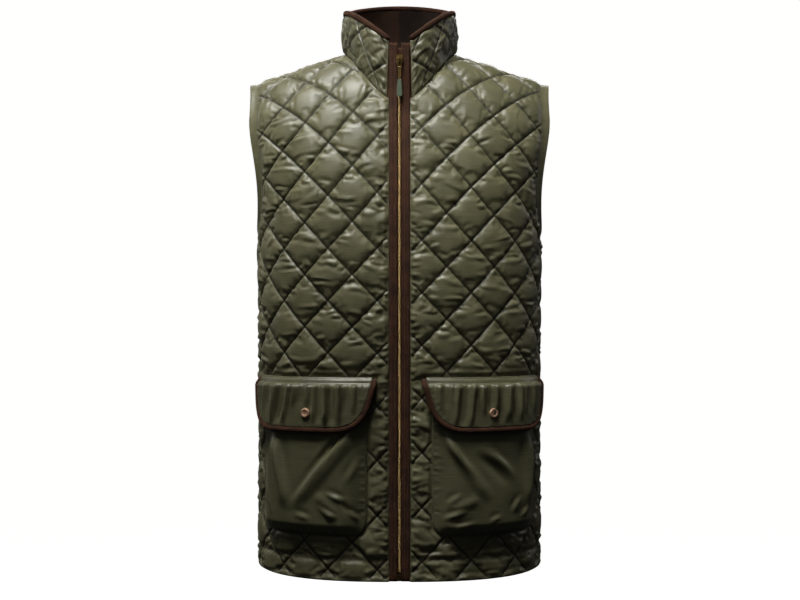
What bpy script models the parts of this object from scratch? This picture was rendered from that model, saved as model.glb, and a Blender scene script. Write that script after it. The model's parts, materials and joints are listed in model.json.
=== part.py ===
"""Quilted gilet in its worn shape: two zipped fronts, a back, a stand collar and two flapped patch pockets.

Each cloth piece is cut flat, in metres of cloth across and up, and then formed on a plain general figure.
The origin lies midway between the neck ends of the shoulder seams. The front faces -Y and +Z is up.
"""

import math
from collections import namedtuple

import bmesh
import bpy
import numpy as np
from mathutils import Matrix, Vector
from mathutils.geometry import delaunay_2d_cdt

# Cloth and seams
SEAM_GAP = 0.0003
WALL = 0.0022
PUFF = 0.0050
EDGE_ROLL = 0.0024
EDGE_STEP = 0.0145
STITCH_FADE = 0.012
HEM_BAND = 0.027

# Quilting: a diamond's width and height, the points along one side of it, and the lattice's place
DIAMOND_WIDTH = 0.064
DIAMOND_HEIGHT = 0.067
POINTS_PER_SIDE = 4
FIRST_CROSSING_ACROSS = 0.0285
CROSSING_HEIGHT = -0.259
LEFT_FRONT_LIFT = 0.010
BACK_CROSSING_HEIGHT = -0.250
INNER_STEP = 0.058

# Torso: sections from the hem to the underarm, with superellipse corners
Section = namedtuple("Section", "height half_width front_depth back_depth")
TORSO = (
    Section(-0.675, 0.1880, 0.128, 0.113),
    Section(-0.560, 0.1870, 0.127, 0.110),
    Section(-0.420, 0.1868, 0.126, 0.108),
    Section(-0.300, 0.1880, 0.128, 0.112),
    Section(-0.235, 0.1900, 0.128, 0.115),
)
HEM = TORSO[0]
UNDERARM = TORSO[-1]
SQUARENESS = 2.5
HEM_DIP = 0.008
HEM_DIP_START = -0.42

# Shoulders: the dome between the underarm level and the shoulder ridge
SHOULDER_ROUNDNESS = 2.2
SHOULDER_SPREAD = 0.031
SPREAD_ANGLE = math.radians(48)
SHOULDER_SLOPE = 0.33
NECK_POINT_HEIGHT = 0.0058
SEAM_ANGLE = math.radians(84.5)
NAPE_RISE = 0.032
REFERENCE_ACROSS = 0.11

# Neck hole seen from above, and the armholes seen from the side
NECK_HALF_WIDTH = 0.0735
NECK_FRONT = 0.1015
NECK_BACK = 0.064
ARMHOLE_TOP = -0.036
ARMHOLE_FRONT = 0.060
ARMHOLE_BACK = 0.054
ARMHOLE_SQUARENESS = 2.0

# Collar: its top edge seen from above, and that edge's heights
COLLAR_HALF_WIDTH = 0.0748
COLLAR_FRONT = 0.095
COLLAR_BACK = 0.060
COLLAR_TOP_FRONT = 0.0023
COLLAR_TOP_SIDE = 0.062
COLLAR_TOP_BACK = 0.0825
COLLAR_BULGE = 0.0020
COLLAR_BULGE_START = 0.05
COLLAR_PUFF = 0.0035
COLLAR_CROSSING_ACROSS = 0.030
COLLAR_CROSSING_UP = 0.018
COLLAR_LIFT = 0.0007
FACING_WALL = 0.0012
FACING_GAP = 0.0013
BINDING_HALF_HEIGHT = 0.0036
BINDING_HALF_THICKNESS = 0.0036

# Front opening: zip chain, brown strips and the fronts' edges
CHAIN_HALF_WIDTH = 0.0022
CHAIN_THICKNESS = 0.0022
STRIP_INNER = 0.0026
STRIP_OUTER = 0.0132
STRIP_THICKNESS = 0.0026
FRONT_EDGE = STRIP_OUTER + SEAM_GAP
STRIP_END_UP = 1.06
SLIDER_UP = 0.765

# Zip slider and pull
SLIDER_SIZE = (0.0085, 0.0042, 0.0120)
ARCH_HALF_HEIGHT = 0.0034
ARCH_RADIUS = 0.0007
ARCH_STANDS = 0.0036
HINGE_STANDS = 0.0017
ARCH_EYE_RADIUS = 0.0012
PULL_BAR = 0.0012
PULL_LINK_WIDTH = 0.0058
PULL_LINK_THICKNESS = 0.0013
PULL_ARM_LENGTH = 0.0125
PULL_STEM_WIDTH = 0.0042
PULL_STEM_LENGTH = 0.0145
PULL_GRIP_NECK = 0.0050
PULL_GRIP_WIDTH = 0.0074
PULL_GRIP_LENGTH = 0.0225
PULL_GRIP_THICKNESS = 0.0034
BOX_SIZE = (0.0074, 0.0042, 0.0090)

# Pockets: places across are metres of cloth from the centre front, heights are at the torso
POCKET_INNER = 0.042
POCKET_OUTER = 0.196
POCKET_BOTTOM = -0.619
POCKET_MOUTH = -0.440
POCKET_CORNER = 0.022
POCKET_WALL = 0.0016
POCKET_BULGE = 0.0135
POCKET_MOUTH_BULGE = 0.0070
POCKET_RISE_SIDE = 0.034
POCKET_RISE_BOTTOM = 0.015
PATCH_GAP = 0.0008

# Pocket flaps, their bindings and their snaps
FLAP_INNER = 0.034
FLAP_OUTER = 0.203
FLAP_TOP = -0.424
FLAP_BOTTOM = -0.486
FLAP_SLANT = 0.016
FLAP_CORNER = 0.034
FLAP_WALL = 0.0024
FLAP_CLEARANCE = 0.0022
FLAP_BINDING_HALF_WIDTH = 0.0034
FLAP_BINDING_HALF_THICKNESS = 0.0027
FLAP_SOFT_TOP = 0.013
FLAP_EDGE_STEP = 0.0078
SNAP_ACROSS = 0.1165
SNAP_HEIGHT = -0.4685
SNAP_RADIUS = 0.0062
SNAP_THICKNESS = 0.0022

# Soft folds of the pocket bags: ridges between two points of each front's cloth
Fold = namedtuple("Fold", "across height to_across to_height rise half_width")
POCKET_FOLDS = {
    "right": (
        Fold(0.046, -0.480, 0.139, -0.592, 0.0036, 0.012),
        Fold(0.168, -0.494, 0.141, -0.592, 0.0042, 0.015),
        Fold(0.104, -0.566, 0.076, -0.598, 0.0024, 0.010),
    ),
    "left": (
        Fold(0.054, -0.490, 0.114, -0.580, 0.0034, 0.012),
        Fold(0.177, -0.492, 0.166, -0.592, 0.0038, 0.013),
        Fold(0.060, -0.590, 0.100, -0.572, 0.0024, 0.010),
    ),
}

# Gathers of the flaps: troughs down from the flap's stitched top
Gather = namedtuple("Gather", "across lean length depth half_width")
FLAP_GATHERS = {
    "right": (
        Gather(0.064, 0.002, 0.034, 0.0009, 0.0065),
        Gather(0.085, -0.001, 0.046, 0.0015, 0.0065),
        Gather(0.098, 0.001, 0.044, 0.0013, 0.0060),
        Gather(0.120, 0.004, 0.028, 0.0010, 0.0070),
        Gather(0.147, 0.008, 0.046, 0.0016, 0.0070),
        Gather(0.172, 0.002, 0.034, 0.0009, 0.0065),
    ),
    "left": (
        Gather(0.056, 0.003, 0.030, 0.0008, 0.0060),
        Gather(0.084, -0.005, 0.048, 0.0015, 0.0070),
        Gather(0.112, 0.001, 0.036, 0.0012, 0.0065),
        Gather(0.130, -0.004, 0.044, 0.0012, 0.0065),
        Gather(0.148, -0.001, 0.042, 0.0014, 0.0060),
        Gather(0.170, 0.001, 0.036, 0.0010, 0.0065),
    ),
}

FRONT, BACK = -1, 1
ROW_SAMPLES = 160
PHI = np.linspace(0.0, math.pi / 2, ROW_SAMPLES)
ACROSS = np.sin(PHI) ** (2 / SQUARENESS)
OUTWARD = np.cos(PHI) ** (2 / SQUARENESS)


def ease(share):
    """Smooth step from 0 to 1."""
    share = np.clip(share, 0.0, 1.0)
    return share * share * (3 - 2 * share)


# The figure that the cloth is formed on


def torso_size(height, column):
    """One column of the torso's table at a height."""
    return float(np.interp(height, [row.height for row in TORSO], [getattr(row, column) for row in TORSO]))


def shoulder_line(across, face):
    """Height of the shoulder ridge at a distance from the centre line, carried on over the neck hole."""
    slope = SHOULDER_SLOPE * (NECK_HALF_WIDTH - across)
    dome = 1 - np.minimum(across / NECK_HALF_WIDTH, 1) ** 2
    rise = NAPE_RISE if face == BACK else 0.0
    hump = SHOULDER_SLOPE * NECK_HALF_WIDTH / 2 * dome + rise * dome**2
    return NECK_POINT_HEIGHT + np.where(dome > 0, hump, slope)


def dome_point(across, outward, angle, face):
    """A point of the shoulder dome: angle is 0 at the underarm level and 90 degrees on the ridge."""
    lift = abs(math.sin(angle)) ** (2 / SHOULDER_ROUNDNESS)
    reach = math.copysign(abs(math.cos(angle)) ** (2 / SHOULDER_ROUNDNESS), math.cos(angle))
    side = face if reach >= 0 else -face
    depth = UNDERARM.front_depth if side == FRONT else UNDERARM.back_depth
    y = face * depth * reach * outward
    z = UNDERARM.height + (shoulder_line(across, face) - UNDERARM.height) * lift
    return np.stack([across + 0 * y, y, z], axis=-1)


def dome_half_width(angle):
    return UNDERARM.half_width + SHOULDER_SPREAD * float(ease(angle / SPREAD_ANGLE))


def measured_column(face):
    """Angles up the shoulder dome, and the cloth's length up to each along the reference column."""
    angles = np.radians(np.linspace(0, 100, 201))
    points = []
    for angle in angles:
        share = REFERENCE_ACROSS / dome_half_width(angle)
        outward = np.array((1 - share**SQUARENESS) ** (1 / SQUARENESS))
        points.append(dome_point(np.array(REFERENCE_ACROSS), outward, angle, face))
    steps = np.linalg.norm(np.diff(np.array(points), axis=0), axis=1)
    return angles, np.concatenate([[0], np.cumsum(steps)])


DOME_COLUMN = {face: measured_column(face) for face in (FRONT, BACK)}


def row_points(up, face):
    """Half a row of cloth from the centre line to the side; up is metres of cloth above the underarm."""
    if up <= 0:
        height = UNDERARM.height + up
        depth = torso_size(height, "front_depth" if face == FRONT else "back_depth")
        x = torso_size(height, "half_width") * ACROSS
        y = face * depth * OUTWARD
        dip = HEM_DIP * ease((HEM_DIP_START - height) / (HEM_DIP_START - HEM.height))
        z = height - (dip * OUTWARD if face == FRONT else 0 * OUTWARD)
        return np.stack([x, y, z], axis=-1)
    angles, lengths = DOME_COLUMN[face]
    angle = float(np.interp(up, lengths, angles))
    return dome_point(dome_half_width(angle) * ACROSS, OUTWARD, angle, face)


def row_lengths(points):
    steps = np.linalg.norm(np.diff(points, axis=0), axis=1)
    return np.concatenate([[0], np.cumsum(steps)])


def body_point(across, up, face):
    """The formed place of a point of flat cloth; across is negative on the wearer's right."""
    points = row_points(up, face)
    lengths = row_lengths(points)
    x, y, z = (np.interp(abs(across), lengths, points[:, i]) for i in range(3))
    return np.array([math.copysign(x, across), y, z])


def surface_normal(place, across, up, step=0.0012):
    """Unit normal of a formed surface, by differences along and up the cloth."""
    along = place(across + step, up) - place(across - step, up)
    rise = place(across, up + step) - place(across, up - step)
    normal = np.cross(along, rise)
    return normal / np.linalg.norm(normal)


class Form:
    """A surface that flat cloth is formed on, with heights measured out along its normal."""

    def __init__(self, place, outward_sign):
        self.place = place
        self.outward_sign = outward_sign

    def at(self, across, up, height=0.0):
        normal = self.outward_sign * surface_normal(self.place, across, up)
        return self.place(across, up) + height * normal


FRONT_FORM = Form(lambda across, up: body_point(across, up, FRONT), 1)
BACK_FORM = Form(lambda across, up: body_point(across, up, BACK), -1)


def neck_value(points):
    """Below 0 inside the neck hole seen from above."""
    depth = np.where(points[:, 1] < 0, NECK_FRONT, NECK_BACK)
    return (points[:, 0] / NECK_HALF_WIDTH) ** 2 + (points[:, 1] / depth) ** 2 - 1


def armhole_value(points):
    """Below 0 inside the armhole's oval seen from the side."""
    middle = (UNDERARM.height + ARMHOLE_TOP) / 2
    half_height = (ARMHOLE_TOP - UNDERARM.height) / 2
    half_width = np.where(points[:, 1] < 0, ARMHOLE_FRONT, ARMHOLE_BACK)
    shares = np.abs((points[:, 2] - middle) / half_height), np.abs(points[:, 1] / half_width)
    return shares[0] ** ARMHOLE_SQUARENESS + shares[1] ** ARMHOLE_SQUARENESS - 1


def crossing(lengths, values, index):
    """The length at which values pass zero between samples index and index + 1."""
    share = values[index] / (values[index] - values[index + 1])
    return lengths[index] + share * (lengths[index + 1] - lengths[index])


def row_limits(up, face):
    """Where a half row of cloth starts, at the centre or the neckline, and ends, at the side or the armhole."""
    points = row_points(up, face)
    lengths = row_lengths(points)
    start, end = 0.0, lengths[-1]
    neck = neck_value(points)
    if up > 0 and neck[0] < 0:
        start = crossing(lengths, neck, int(np.argmax(neck > 0)) - 1)
    arm = armhole_value(points)
    beyond = (arm < 0) & (points[:, 0] > NECK_HALF_WIDTH)
    if up > 0 and beyond.any():
        end = crossing(lengths, arm, int(np.argmax(beyond)) - 1)
    return start, end


HEM_UP = HEM.height - UNDERARM.height


def seam_up(face):
    """Where the shoulder seam lies up the cloth of the front or the back, short of it by half the gap."""
    angles, lengths = DOME_COLUMN[face]
    angle = SEAM_ANGLE if face == FRONT else math.pi - SEAM_ANGLE
    return float(np.interp(angle, angles, lengths)) - SEAM_GAP / 2


def neck_bottom_up(face, across):
    """Where the neckline meets a column close to the centre."""
    low, high = 0.0, seam_up(face)
    for _ in range(40):
        middle = (low + high) / 2
        inside = row_limits(middle, face)[0] > across
        low, high = (low, middle) if inside else (middle, high)
    return low


# Flat cutting: outlines, lattice points and walls


def resampled(points, step):
    """Points evenly spaced along a line, with its two ends kept."""
    points = np.array(points)
    lengths = row_lengths(points)
    count = max(1, round(lengths[-1] / step))
    targets = np.linspace(0, lengths[-1], count + 1)
    return np.stack([np.interp(targets, lengths, points[:, i]) for i in range(points.shape[1])], axis=-1)


def joined_outline(edges, step=EDGE_STEP):
    """One closed outline from named edges, and the name of the edge that each point starts."""
    outline, names = [], []
    for name, points in edges:
        for point in resampled(points, step)[:-1]:
            outline.append(point)
            names.append(name)
    return np.array(outline), names


def half_panel_edges(face, centre):
    """Edges of half a body panel, anticlockwise from the hem's centre, for the side where across is positive."""
    top = seam_up(face)
    neck_low = neck_bottom_up(face, max(centre, 0.004))
    ups = np.linspace(0, 1, 240)
    side = [(row_limits(up, face)[1] - SEAM_GAP / 2, up) for up in np.linspace(HEM_UP, 0, 60)]
    armhole = [(row_limits(up, face)[1], up) for up in top * ups**2]
    armhole[0] = side[-1]
    neckline = [(row_limits(up, face)[0], up) for up in neck_low + (top - neck_low) * (1 - ups) ** 2]
    neckline[-1] = (centre, neck_low)
    return [
        ("hem", [(centre, HEM_UP), side[0]]),
        ("side", side),
        ("armhole", armhole),
        ("shoulder", [armhole[-1], neckline[0]]),
        ("neckline", neckline),
        ("centre", [(centre, neck_low), (centre, HEM_UP)]),
    ]


def mirrored_edges(edges):
    return [(name, [(-across, up) for across, up in reversed(points)]) for name, points in reversed(edges)]


def distance_to(points, line):
    """Least distance from each point to a closed line."""
    points, starts = np.array(points), np.array(line)
    runs = np.roll(starts, -1, axis=0) - starts
    offsets = points[:, None] - starts[None]
    shares = np.clip((offsets * runs).sum(-1) / np.maximum((runs * runs).sum(-1), 1e-12), 0, 1)
    return np.linalg.norm(offsets - shares[..., None] * runs[None], axis=-1).min(axis=1)


def inside(points, line):
    """Which points lie inside a closed line."""
    points, starts = np.array(points), np.array(line)
    ends = np.roll(starts, -1, axis=0)
    x, y = points[:, None, 0], points[:, None, 1]
    straddles = (starts[:, 1] > y) != (ends[:, 1] > y)
    rise = np.where(ends[:, 1] == starts[:, 1], 1e-12, ends[:, 1] - starts[:, 1])
    crossings = straddles & (x < starts[:, 0] + (y - starts[:, 1]) / rise * (ends[:, 0] - starts[:, 0]))
    return crossings.sum(axis=1) % 2 == 1


class Lattice:
    """Diamond quilting: stitch lines cross at origin and at each whole diamond from it."""

    def __init__(self, across, up, width=DIAMOND_WIDTH, height=DIAMOND_HEIGHT, puff=PUFF):
        self.origin = np.array([across, up])
        self.size = np.array([width, height])
        self.puff = puff

    def points(self, outline, per_side=POINTS_PER_SIDE):
        """Points on a grid along the stitch lines, that many to a diamond's side, over an outline's box."""
        low, high = outline.min(axis=0), outline.max(axis=0)
        reach = int(np.ceil(((high - low) / self.size).sum())) * per_side + 2 * per_side
        centre = np.round(((low + high) / 2 - self.origin) / self.size) * self.size + self.origin
        rising, falling = np.meshgrid(np.arange(-reach, reach + 1), np.arange(-reach, reach + 1))
        across = (rising + falling) / (2 * per_side) * self.size[0]
        up = (rising - falling) / (2 * per_side) * self.size[1]
        return np.stack([across.ravel(), up.ravel()], axis=-1) + centre

    def relief(self, points):
        """How far the filling lifts the cloth at each point: nothing on a stitch line, most in a diamond's middle."""
        share = (np.array(points) - self.origin) / self.size
        lines = np.stack([share.sum(axis=1), share[:, 0] - share[:, 1]], axis=-1)
        off_line = 2 * np.abs(lines - np.round(lines))
        return self.puff * np.prod(1 - (1 - off_line) ** 2.3, axis=1)


def plain_points(outline, steps):
    """A staggered grid of points over an outline's box, with its steps across and up."""
    low, high = outline.min(axis=0), outline.max(axis=0)
    columns = np.arange(low[0], high[0], steps[0])
    rows = np.arange(low[1] + steps[1] / 2, high[1], steps[1] * math.sqrt(3) / 2)
    stagger = np.tile([0.25 * steps[0], 0.75 * steps[0]], len(rows))
    return np.array([(across + stagger[i], up) for i, up in enumerate(rows) for across in columns])


def kept_inside(points, outline, clearance):
    """The points inside an outline and at least a clearance from it."""
    if len(points) == 0:
        return np.zeros((0, 2))
    return points[inside(points, outline) & (distance_to(points, outline) > clearance)]


def cut_flat(outline, fill, lines=()):
    """Triangles of a flat piece: its outline's points first, then fill points and the points of inner lines."""
    points = [outline, fill]
    edges = []
    count = len(outline) + len(fill)
    for line, closed in lines:
        edges += [(count + i, count + i + 1) for i in range(len(line) - 1)]
        if closed:
            edges.append((count + len(line) - 1, count))
        points.append(line)
        count += len(line)
    flat = [Vector(point) for point in np.concatenate(points)]
    verts, _, faces, origins, _, _ = delaunay_2d_cdt(flat, edges, [list(range(len(outline)))], 1, 1e-7)
    place = [None] * len(flat)
    for index, sources in enumerate(origins):
        for source in sources:
            place[source] = index
    return np.array([tuple(vert) for vert in verts]), faces, place[: len(outline)]


def wall(name, form, outline, outer, inner, material):
    """A closed cloth wall: outer and inner are (flat points, faces, outline's places, heights)."""
    mesh = bmesh.new()
    rims = []
    for (points, faces, rim, heights), flip in ((outer, False), (inner, True)):
        verts = [mesh.verts.new(form.at(*point, height)) for point, height in zip(points, heights)]
        for face in faces:
            corners = [verts[i] for i in face]
            mesh.faces.new(corners[::-1] if flip else corners)
        rims.append([verts[i] for i in rim])
    outer_rim, inner_rim = rims
    for i in range(len(outline)):
        j = (i + 1) % len(outline)
        mesh.faces.new((outer_rim[j], outer_rim[i], inner_rim[i], inner_rim[j]))
    return finished(name, mesh, material)


def plain_wall(name, form, outline, steps, outer_height, inner_height, material):
    """A wall with the same points on both sides, its heights given by functions of flat points."""
    fill = kept_inside(plain_points(outline, steps), outline, 0.45 * min(steps))
    points, faces, rim = cut_flat(outline, fill)
    outer = (points, faces, rim, outer_height(points))
    inner = (points, faces, rim, inner_height(points))
    return wall(name, form, outline, outer, inner, material)


def finished(name, mesh, material):
    """A named object in the garment's collection from a closed mesh, facing out."""
    bmesh.ops.recalc_face_normals(mesh, faces=mesh.faces)
    data = bpy.data.meshes.new(name)
    mesh.to_mesh(data)
    mesh.free()
    data.shade_smooth()
    data.set_sharp_from_angle(angle=math.radians(40))
    data.materials.append(material)
    obj = bpy.data.objects.new(name, data)
    GARMENT.objects.link(obj)
    return obj


def sweep(name, path, sides, section, material):
    """A bar along a path: section points are (along each side vector, along the normal to it and the path)."""
    mesh = bmesh.new()
    path = np.array(path)
    tangents = np.gradient(path, axis=0)
    rings = []
    for point, tangent, side in zip(path, tangents, sides):
        tangent = tangent / np.linalg.norm(tangent)
        side = side - tangent * side.dot(tangent)
        side = side / np.linalg.norm(side)
        normal = np.cross(side, tangent)
        rings.append([mesh.verts.new(point + side * a + normal * b) for a, b in section])
    for ring, following in zip(rings, rings[1:]):
        for i in range(len(section)):
            j = (i + 1) % len(section)
            mesh.faces.new((ring[i], ring[j], following[j], following[i]))
    mesh.faces.new(rings[0])
    mesh.faces.new(rings[-1])
    return finished(name, mesh, material)


def oval_section(half_width, half_height, sides=8):
    turns = [2 * math.pi * i / sides for i in range(sides)]
    return [(half_width * math.cos(turn), half_height * math.sin(turn)) for turn in turns]


# Body panels


def pocket_outline(inner, outer, bottom, top, corner, grow=0.0):
    """A patch with round lower corners, anticlockwise from its upper inner corner, grown all round."""
    low = bottom - UNDERARM.height - grow
    high = top - UNDERARM.height + grow
    near, far = inner - grow, outer + grow
    turns = np.linspace(0, math.pi / 2, 7)
    near_arc = [(near + corner * (1 - math.cos(a)), low + corner * (1 - math.sin(a))) for a in turns]
    far_arc = [(far - corner * (1 - math.sin(a)), low + corner * (1 - math.cos(a))) for a in turns]
    return [("side", [(near, high), *near_arc, *far_arc, (far, high)]), ("mouth", [(far, high), (near, high)])]


def covered_outline(mirror):
    """The part of a front that its pocket and flap lie on, where the quilting is pressed flat."""
    edges = pocket_outline(FLAP_INNER, FLAP_OUTER, POCKET_BOTTOM, FLAP_TOP, POCKET_CORNER, grow=0.004)
    outline, _ = joined_outline(edges, 0.016)
    return outline * (-1, 1) if mirror else outline


def hem_stitch_line(outline):
    """Points of the hem's stitch line, between the panel's edges at that height."""
    up = HEM_UP + HEM_BAND
    low, high = outline[:, 0].min(), outline[:, 0].max()
    count = round((high - low) / DIAMOND_WIDTH * POINTS_PER_SIDE)
    across = np.linspace(low, high, count + 1)[1:-1]
    return np.stack([across, np.full(len(across), up)], axis=-1)


def quilted_wall(name, form, outline, names, lattice, lines, quiet, material):
    """A quilted body panel: relief on its outer points, and a plain inside of few points."""
    spacing = DIAMOND_WIDTH / POINTS_PER_SIDE
    line_points = np.concatenate([line for line, _ in lines])
    fill = kept_inside(lattice.points(outline), outline, 0.4 * spacing)
    near_line = np.linalg.norm(fill[:, None] - line_points[None], axis=-1).min(axis=1) < 0.45 * spacing
    fill = fill[~near_line]
    for patch in quiet:
        fill = fill[~inside(fill, patch)]
    rest = kept_inside(plain_points(outline, (INNER_STEP, INNER_STEP)), outline, 0.3 * INNER_STEP)
    for patch in quiet:
        fill = np.concatenate([fill, kept_inside(rest, patch, 0.012)])
    points, faces, rim = cut_flat(outline, fill, lines)

    heights = lattice.relief(points)
    heights *= ease(distance_to(points, outline) / STITCH_FADE)
    heights *= ease(np.abs(points[:, 1] - HEM_UP - HEM_BAND) / STITCH_FADE)
    for patch in quiet:
        outside = np.where(inside(points, patch), 0.0, distance_to(points, patch))
        heights *= ease((outside - 0.0005) / STITCH_FADE)
    rolled = [EDGE_ROLL if edge in ("hem", "armhole") else 0.0 for edge in names]
    heights[rim] = rolled

    inner_points, inner_faces, inner_rim = cut_flat(outline, rest)
    inner_heights = np.full(len(inner_points), -WALL)
    outer = (points, faces, rim, heights)
    inner = (inner_points, inner_faces, inner_rim, inner_heights)
    return wall(name, form, outline, outer, inner, material)


def make_front(name, mirror, material):
    edges = half_panel_edges(FRONT, FRONT_EDGE)
    crossing_up = CROSSING_HEIGHT - UNDERARM.height
    if mirror:
        edges = mirrored_edges(edges)
        lattice = Lattice(-FIRST_CROSSING_ACROSS, crossing_up)
    else:
        lattice = Lattice(FIRST_CROSSING_ACROSS, crossing_up + LEFT_FRONT_LIFT)
    outline, names = joined_outline(edges)
    patch = covered_outline(mirror)
    lines = [(hem_stitch_line(outline), False), (patch, True)]
    return quilted_wall(name, FRONT_FORM, outline, names, lattice, lines, [patch], material)


def make_back(name, material):
    right = [edge for edge in half_panel_edges(BACK, 0.0) if edge[0] != "centre"]
    edges = right + mirrored_edges(right)
    outline, names = joined_outline(edges)
    lattice = Lattice(0.0, BACK_CROSSING_HEIGHT - UNDERARM.height)
    lines = [(hem_stitch_line(outline), False)]
    return quilted_wall(name, BACK_FORM, outline, names, lattice, lines, [], material)


# Collar


def neckline_points():
    """Half of the neck seam, from the centre front over the shoulder to the centre back."""
    halves = []
    for face in (FRONT, BACK):
        top = seam_up(face)
        low = neck_bottom_up(face, 0.0005)
        line = []
        for share in np.linspace(0, 1, 160):
            up = low + (top - low) * share**2
            across = row_limits(up, face)[0]
            line.append(body_point(across, up, face))
        halves.append(line)
    front, back = halves
    return np.array([[0, *front[0][1:]], *front, *reversed(back), [0, *back[0][1:]]])


NECKLINE = neckline_points()
NECKLINE_LENGTHS = row_lengths(NECKLINE)
HALF_NECK = float(NECKLINE_LENGTHS[-1])


def collar_top_points():
    """Half of the collar's top edge, from the centre front to the centre back."""
    points = []
    for turn in np.linspace(0, math.pi, 161):
        across = math.sin(turn)
        if turn < math.pi / 2:
            y = -COLLAR_FRONT * math.cos(turn)
            z = COLLAR_TOP_FRONT + (COLLAR_TOP_SIDE - COLLAR_TOP_FRONT) * across
        else:
            y = -COLLAR_BACK * math.cos(turn)
            z = COLLAR_TOP_SIDE + (COLLAR_TOP_BACK - COLLAR_TOP_SIDE) * max(1 - across * across, 0.0) ** 0.6
        points.append((COLLAR_HALF_WIDTH * across, y, z))
    return np.array(points)


COLLAR_TOP = collar_top_points()
COLLAR_TOP_LENGTHS = row_lengths(COLLAR_TOP)


def collar_ends(along):
    """The collar's lower and upper points at a distance along the neck seam from the centre front."""
    base_at = min(abs(along), HALF_NECK)
    top_at = base_at - (HALF_NECK - COLLAR_TOP_LENGTHS[-1]) * float(ease(base_at / HALF_NECK))
    base = np.array([np.interp(base_at, NECKLINE_LENGTHS, NECKLINE[:, i]) for i in range(3)])
    top = np.array([np.interp(top_at, COLLAR_TOP_LENGTHS, COLLAR_TOP[:, i]) for i in range(3)])
    base[2] += COLLAR_LIFT
    return base, top


def collar_height(along):
    base, top = collar_ends(round_the_neck(along))
    return float(np.linalg.norm(top - base))


def round_the_neck(along):
    """Distances past the centre back are counted back from the other front edge, as negative ones."""
    return along - 2 * HALF_NECK if along > HALF_NECK else along


def collar_point(along, up):
    """The collar's place: along the neck seam from the left front edge, and up from the seam."""
    along = round_the_neck(along)
    base, top = collar_ends(along)
    share = up / np.linalg.norm(top - base)
    point = base + (top - base) * share
    bulge = COLLAR_BULGE * float(ease(abs(along) / COLLAR_BULGE_START))
    point[:2] *= 1 + bulge / NECK_HALF_WIDTH * math.sin(math.pi * np.clip(share, 0, 1)) ** 1.5
    point[0] = math.copysign(point[0], along)
    return point


COLLAR_FORM = Form(collar_point, 1)


def collar_start():
    """How far along the neck seam the collar's front edge lies, clear of the strip."""
    base = np.interp(FRONT_EDGE, NECKLINE[:100, 0], NECKLINE_LENGTHS[:100])
    top = np.interp(FRONT_EDGE, COLLAR_TOP[:60, 0], COLLAR_TOP_LENGTHS[:60])
    return float(max(base, top)) + 2 * SEAM_GAP


COLLAR_EDGE = collar_start()
FAR_COLLAR_EDGE = 2 * HALF_NECK - COLLAR_EDGE


def collar_top_up(along):
    """How far up the collar's cloth ends, square to the binding that lies on it."""
    step = 0.002
    base, top = collar_ends(round_the_neck(along))
    rise = (top - base) / np.linalg.norm(top - base)
    here = COLLAR_FORM.at(along - step, collar_height(along - step))
    there = COLLAR_FORM.at(along + step, collar_height(along + step))
    run = (there - here) / np.linalg.norm(there - here)
    return collar_height(along) - (BINDING_HALF_HEIGHT + SEAM_GAP) / np.linalg.norm(np.cross(rise, run))



def collar_outline(start, end):
    """A stretch of the collar from its seam up to the binding."""
    top = [(along, collar_top_up(along)) for along in np.linspace(end, start, 60)]
    edges = [
        ("seam", [(start, 0.0), (end, 0.0)]),
        ("end", [(end, 0.0), top[0]]),
        ("edge", top),
        ("start", [top[-1], (start, 0.0)]),
    ]
    outline, _ = joined_outline(edges)
    return outline


def make_collar(material):
    """The quilted stand, from one front edge round the neck to the other."""
    outline = collar_outline(COLLAR_EDGE, FAR_COLLAR_EDGE)
    lattice = Lattice(HALF_NECK - COLLAR_CROSSING_ACROSS, COLLAR_CROSSING_UP, puff=COLLAR_PUFF)
    fill = kept_inside(lattice.points(outline), outline, 0.35 * DIAMOND_WIDTH / POINTS_PER_SIDE)
    points, faces, rim = cut_flat(outline, fill)
    heights = lattice.relief(points) * ease(distance_to(points, outline) / STITCH_FADE)
    rest = kept_inside(plain_points(outline, (0.02, 0.02)), outline, 0.007)
    inner_points, inner_faces, inner_rim = cut_flat(outline, rest)
    outer = (points, faces, rim, heights)
    inner = (inner_points, inner_faces, inner_rim, np.full(len(inner_points), -WALL))
    return wall("collar", COLLAR_FORM, outline, outer, inner, material)


def make_facing(name, mirror, material):
    """Half of the collar's inner facing, from a front edge to the centre back."""
    if mirror:
        outline = collar_outline(HALF_NECK + SEAM_GAP / 2, FAR_COLLAR_EDGE)
    else:
        outline = collar_outline(COLLAR_EDGE, HALF_NECK - SEAM_GAP / 2)
    outer = -WALL - FACING_GAP
    return plain_wall(
        name,
        COLLAR_FORM,
        outline,
        (0.02, 0.02),
        lambda points: np.full(len(points), outer),
        lambda points: np.full(len(points), outer - FACING_WALL),
        material,
    )


def make_collar_binding(material):
    """The rounded binding on the collar's top edge."""
    start = COLLAR_EDGE + BINDING_HALF_HEIGHT
    depth = -(WALL + FACING_WALL) / 2
    path, sides = [], []
    for along in np.linspace(start, 2 * HALF_NECK - start, 45):
        up = collar_height(along)
        path.append(COLLAR_FORM.at(along, up, depth))
        sides.append(COLLAR_FORM.at(along, up, depth + 0.01) - path[-1])
    section = oval_section(BINDING_HALF_THICKNESS, BINDING_HALF_HEIGHT, sides=6)
    return sweep("collar_binding", path, sides, section, material)


# Front opening


def opening_path(across, height, top):
    """Points up a front edge, from the hem over the chest to a share of the collar's height."""
    neck_low = neck_bottom_up(FRONT, 0.004)
    path = [FRONT_FORM.at(across, up, height) for up in np.linspace(HEM_UP, -0.02, 14)]
    path += [FRONT_FORM.at(across, up, height) for up in np.linspace(0.0, neck_low - 0.010, 10)]
    collar_ups = np.linspace(0.012, top * collar_height(0.0), 6)
    path += [COLLAR_FORM.at(across, up, height) for up in collar_ups]
    return [np.array([across, point[1], point[2]]) for point in path]


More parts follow.
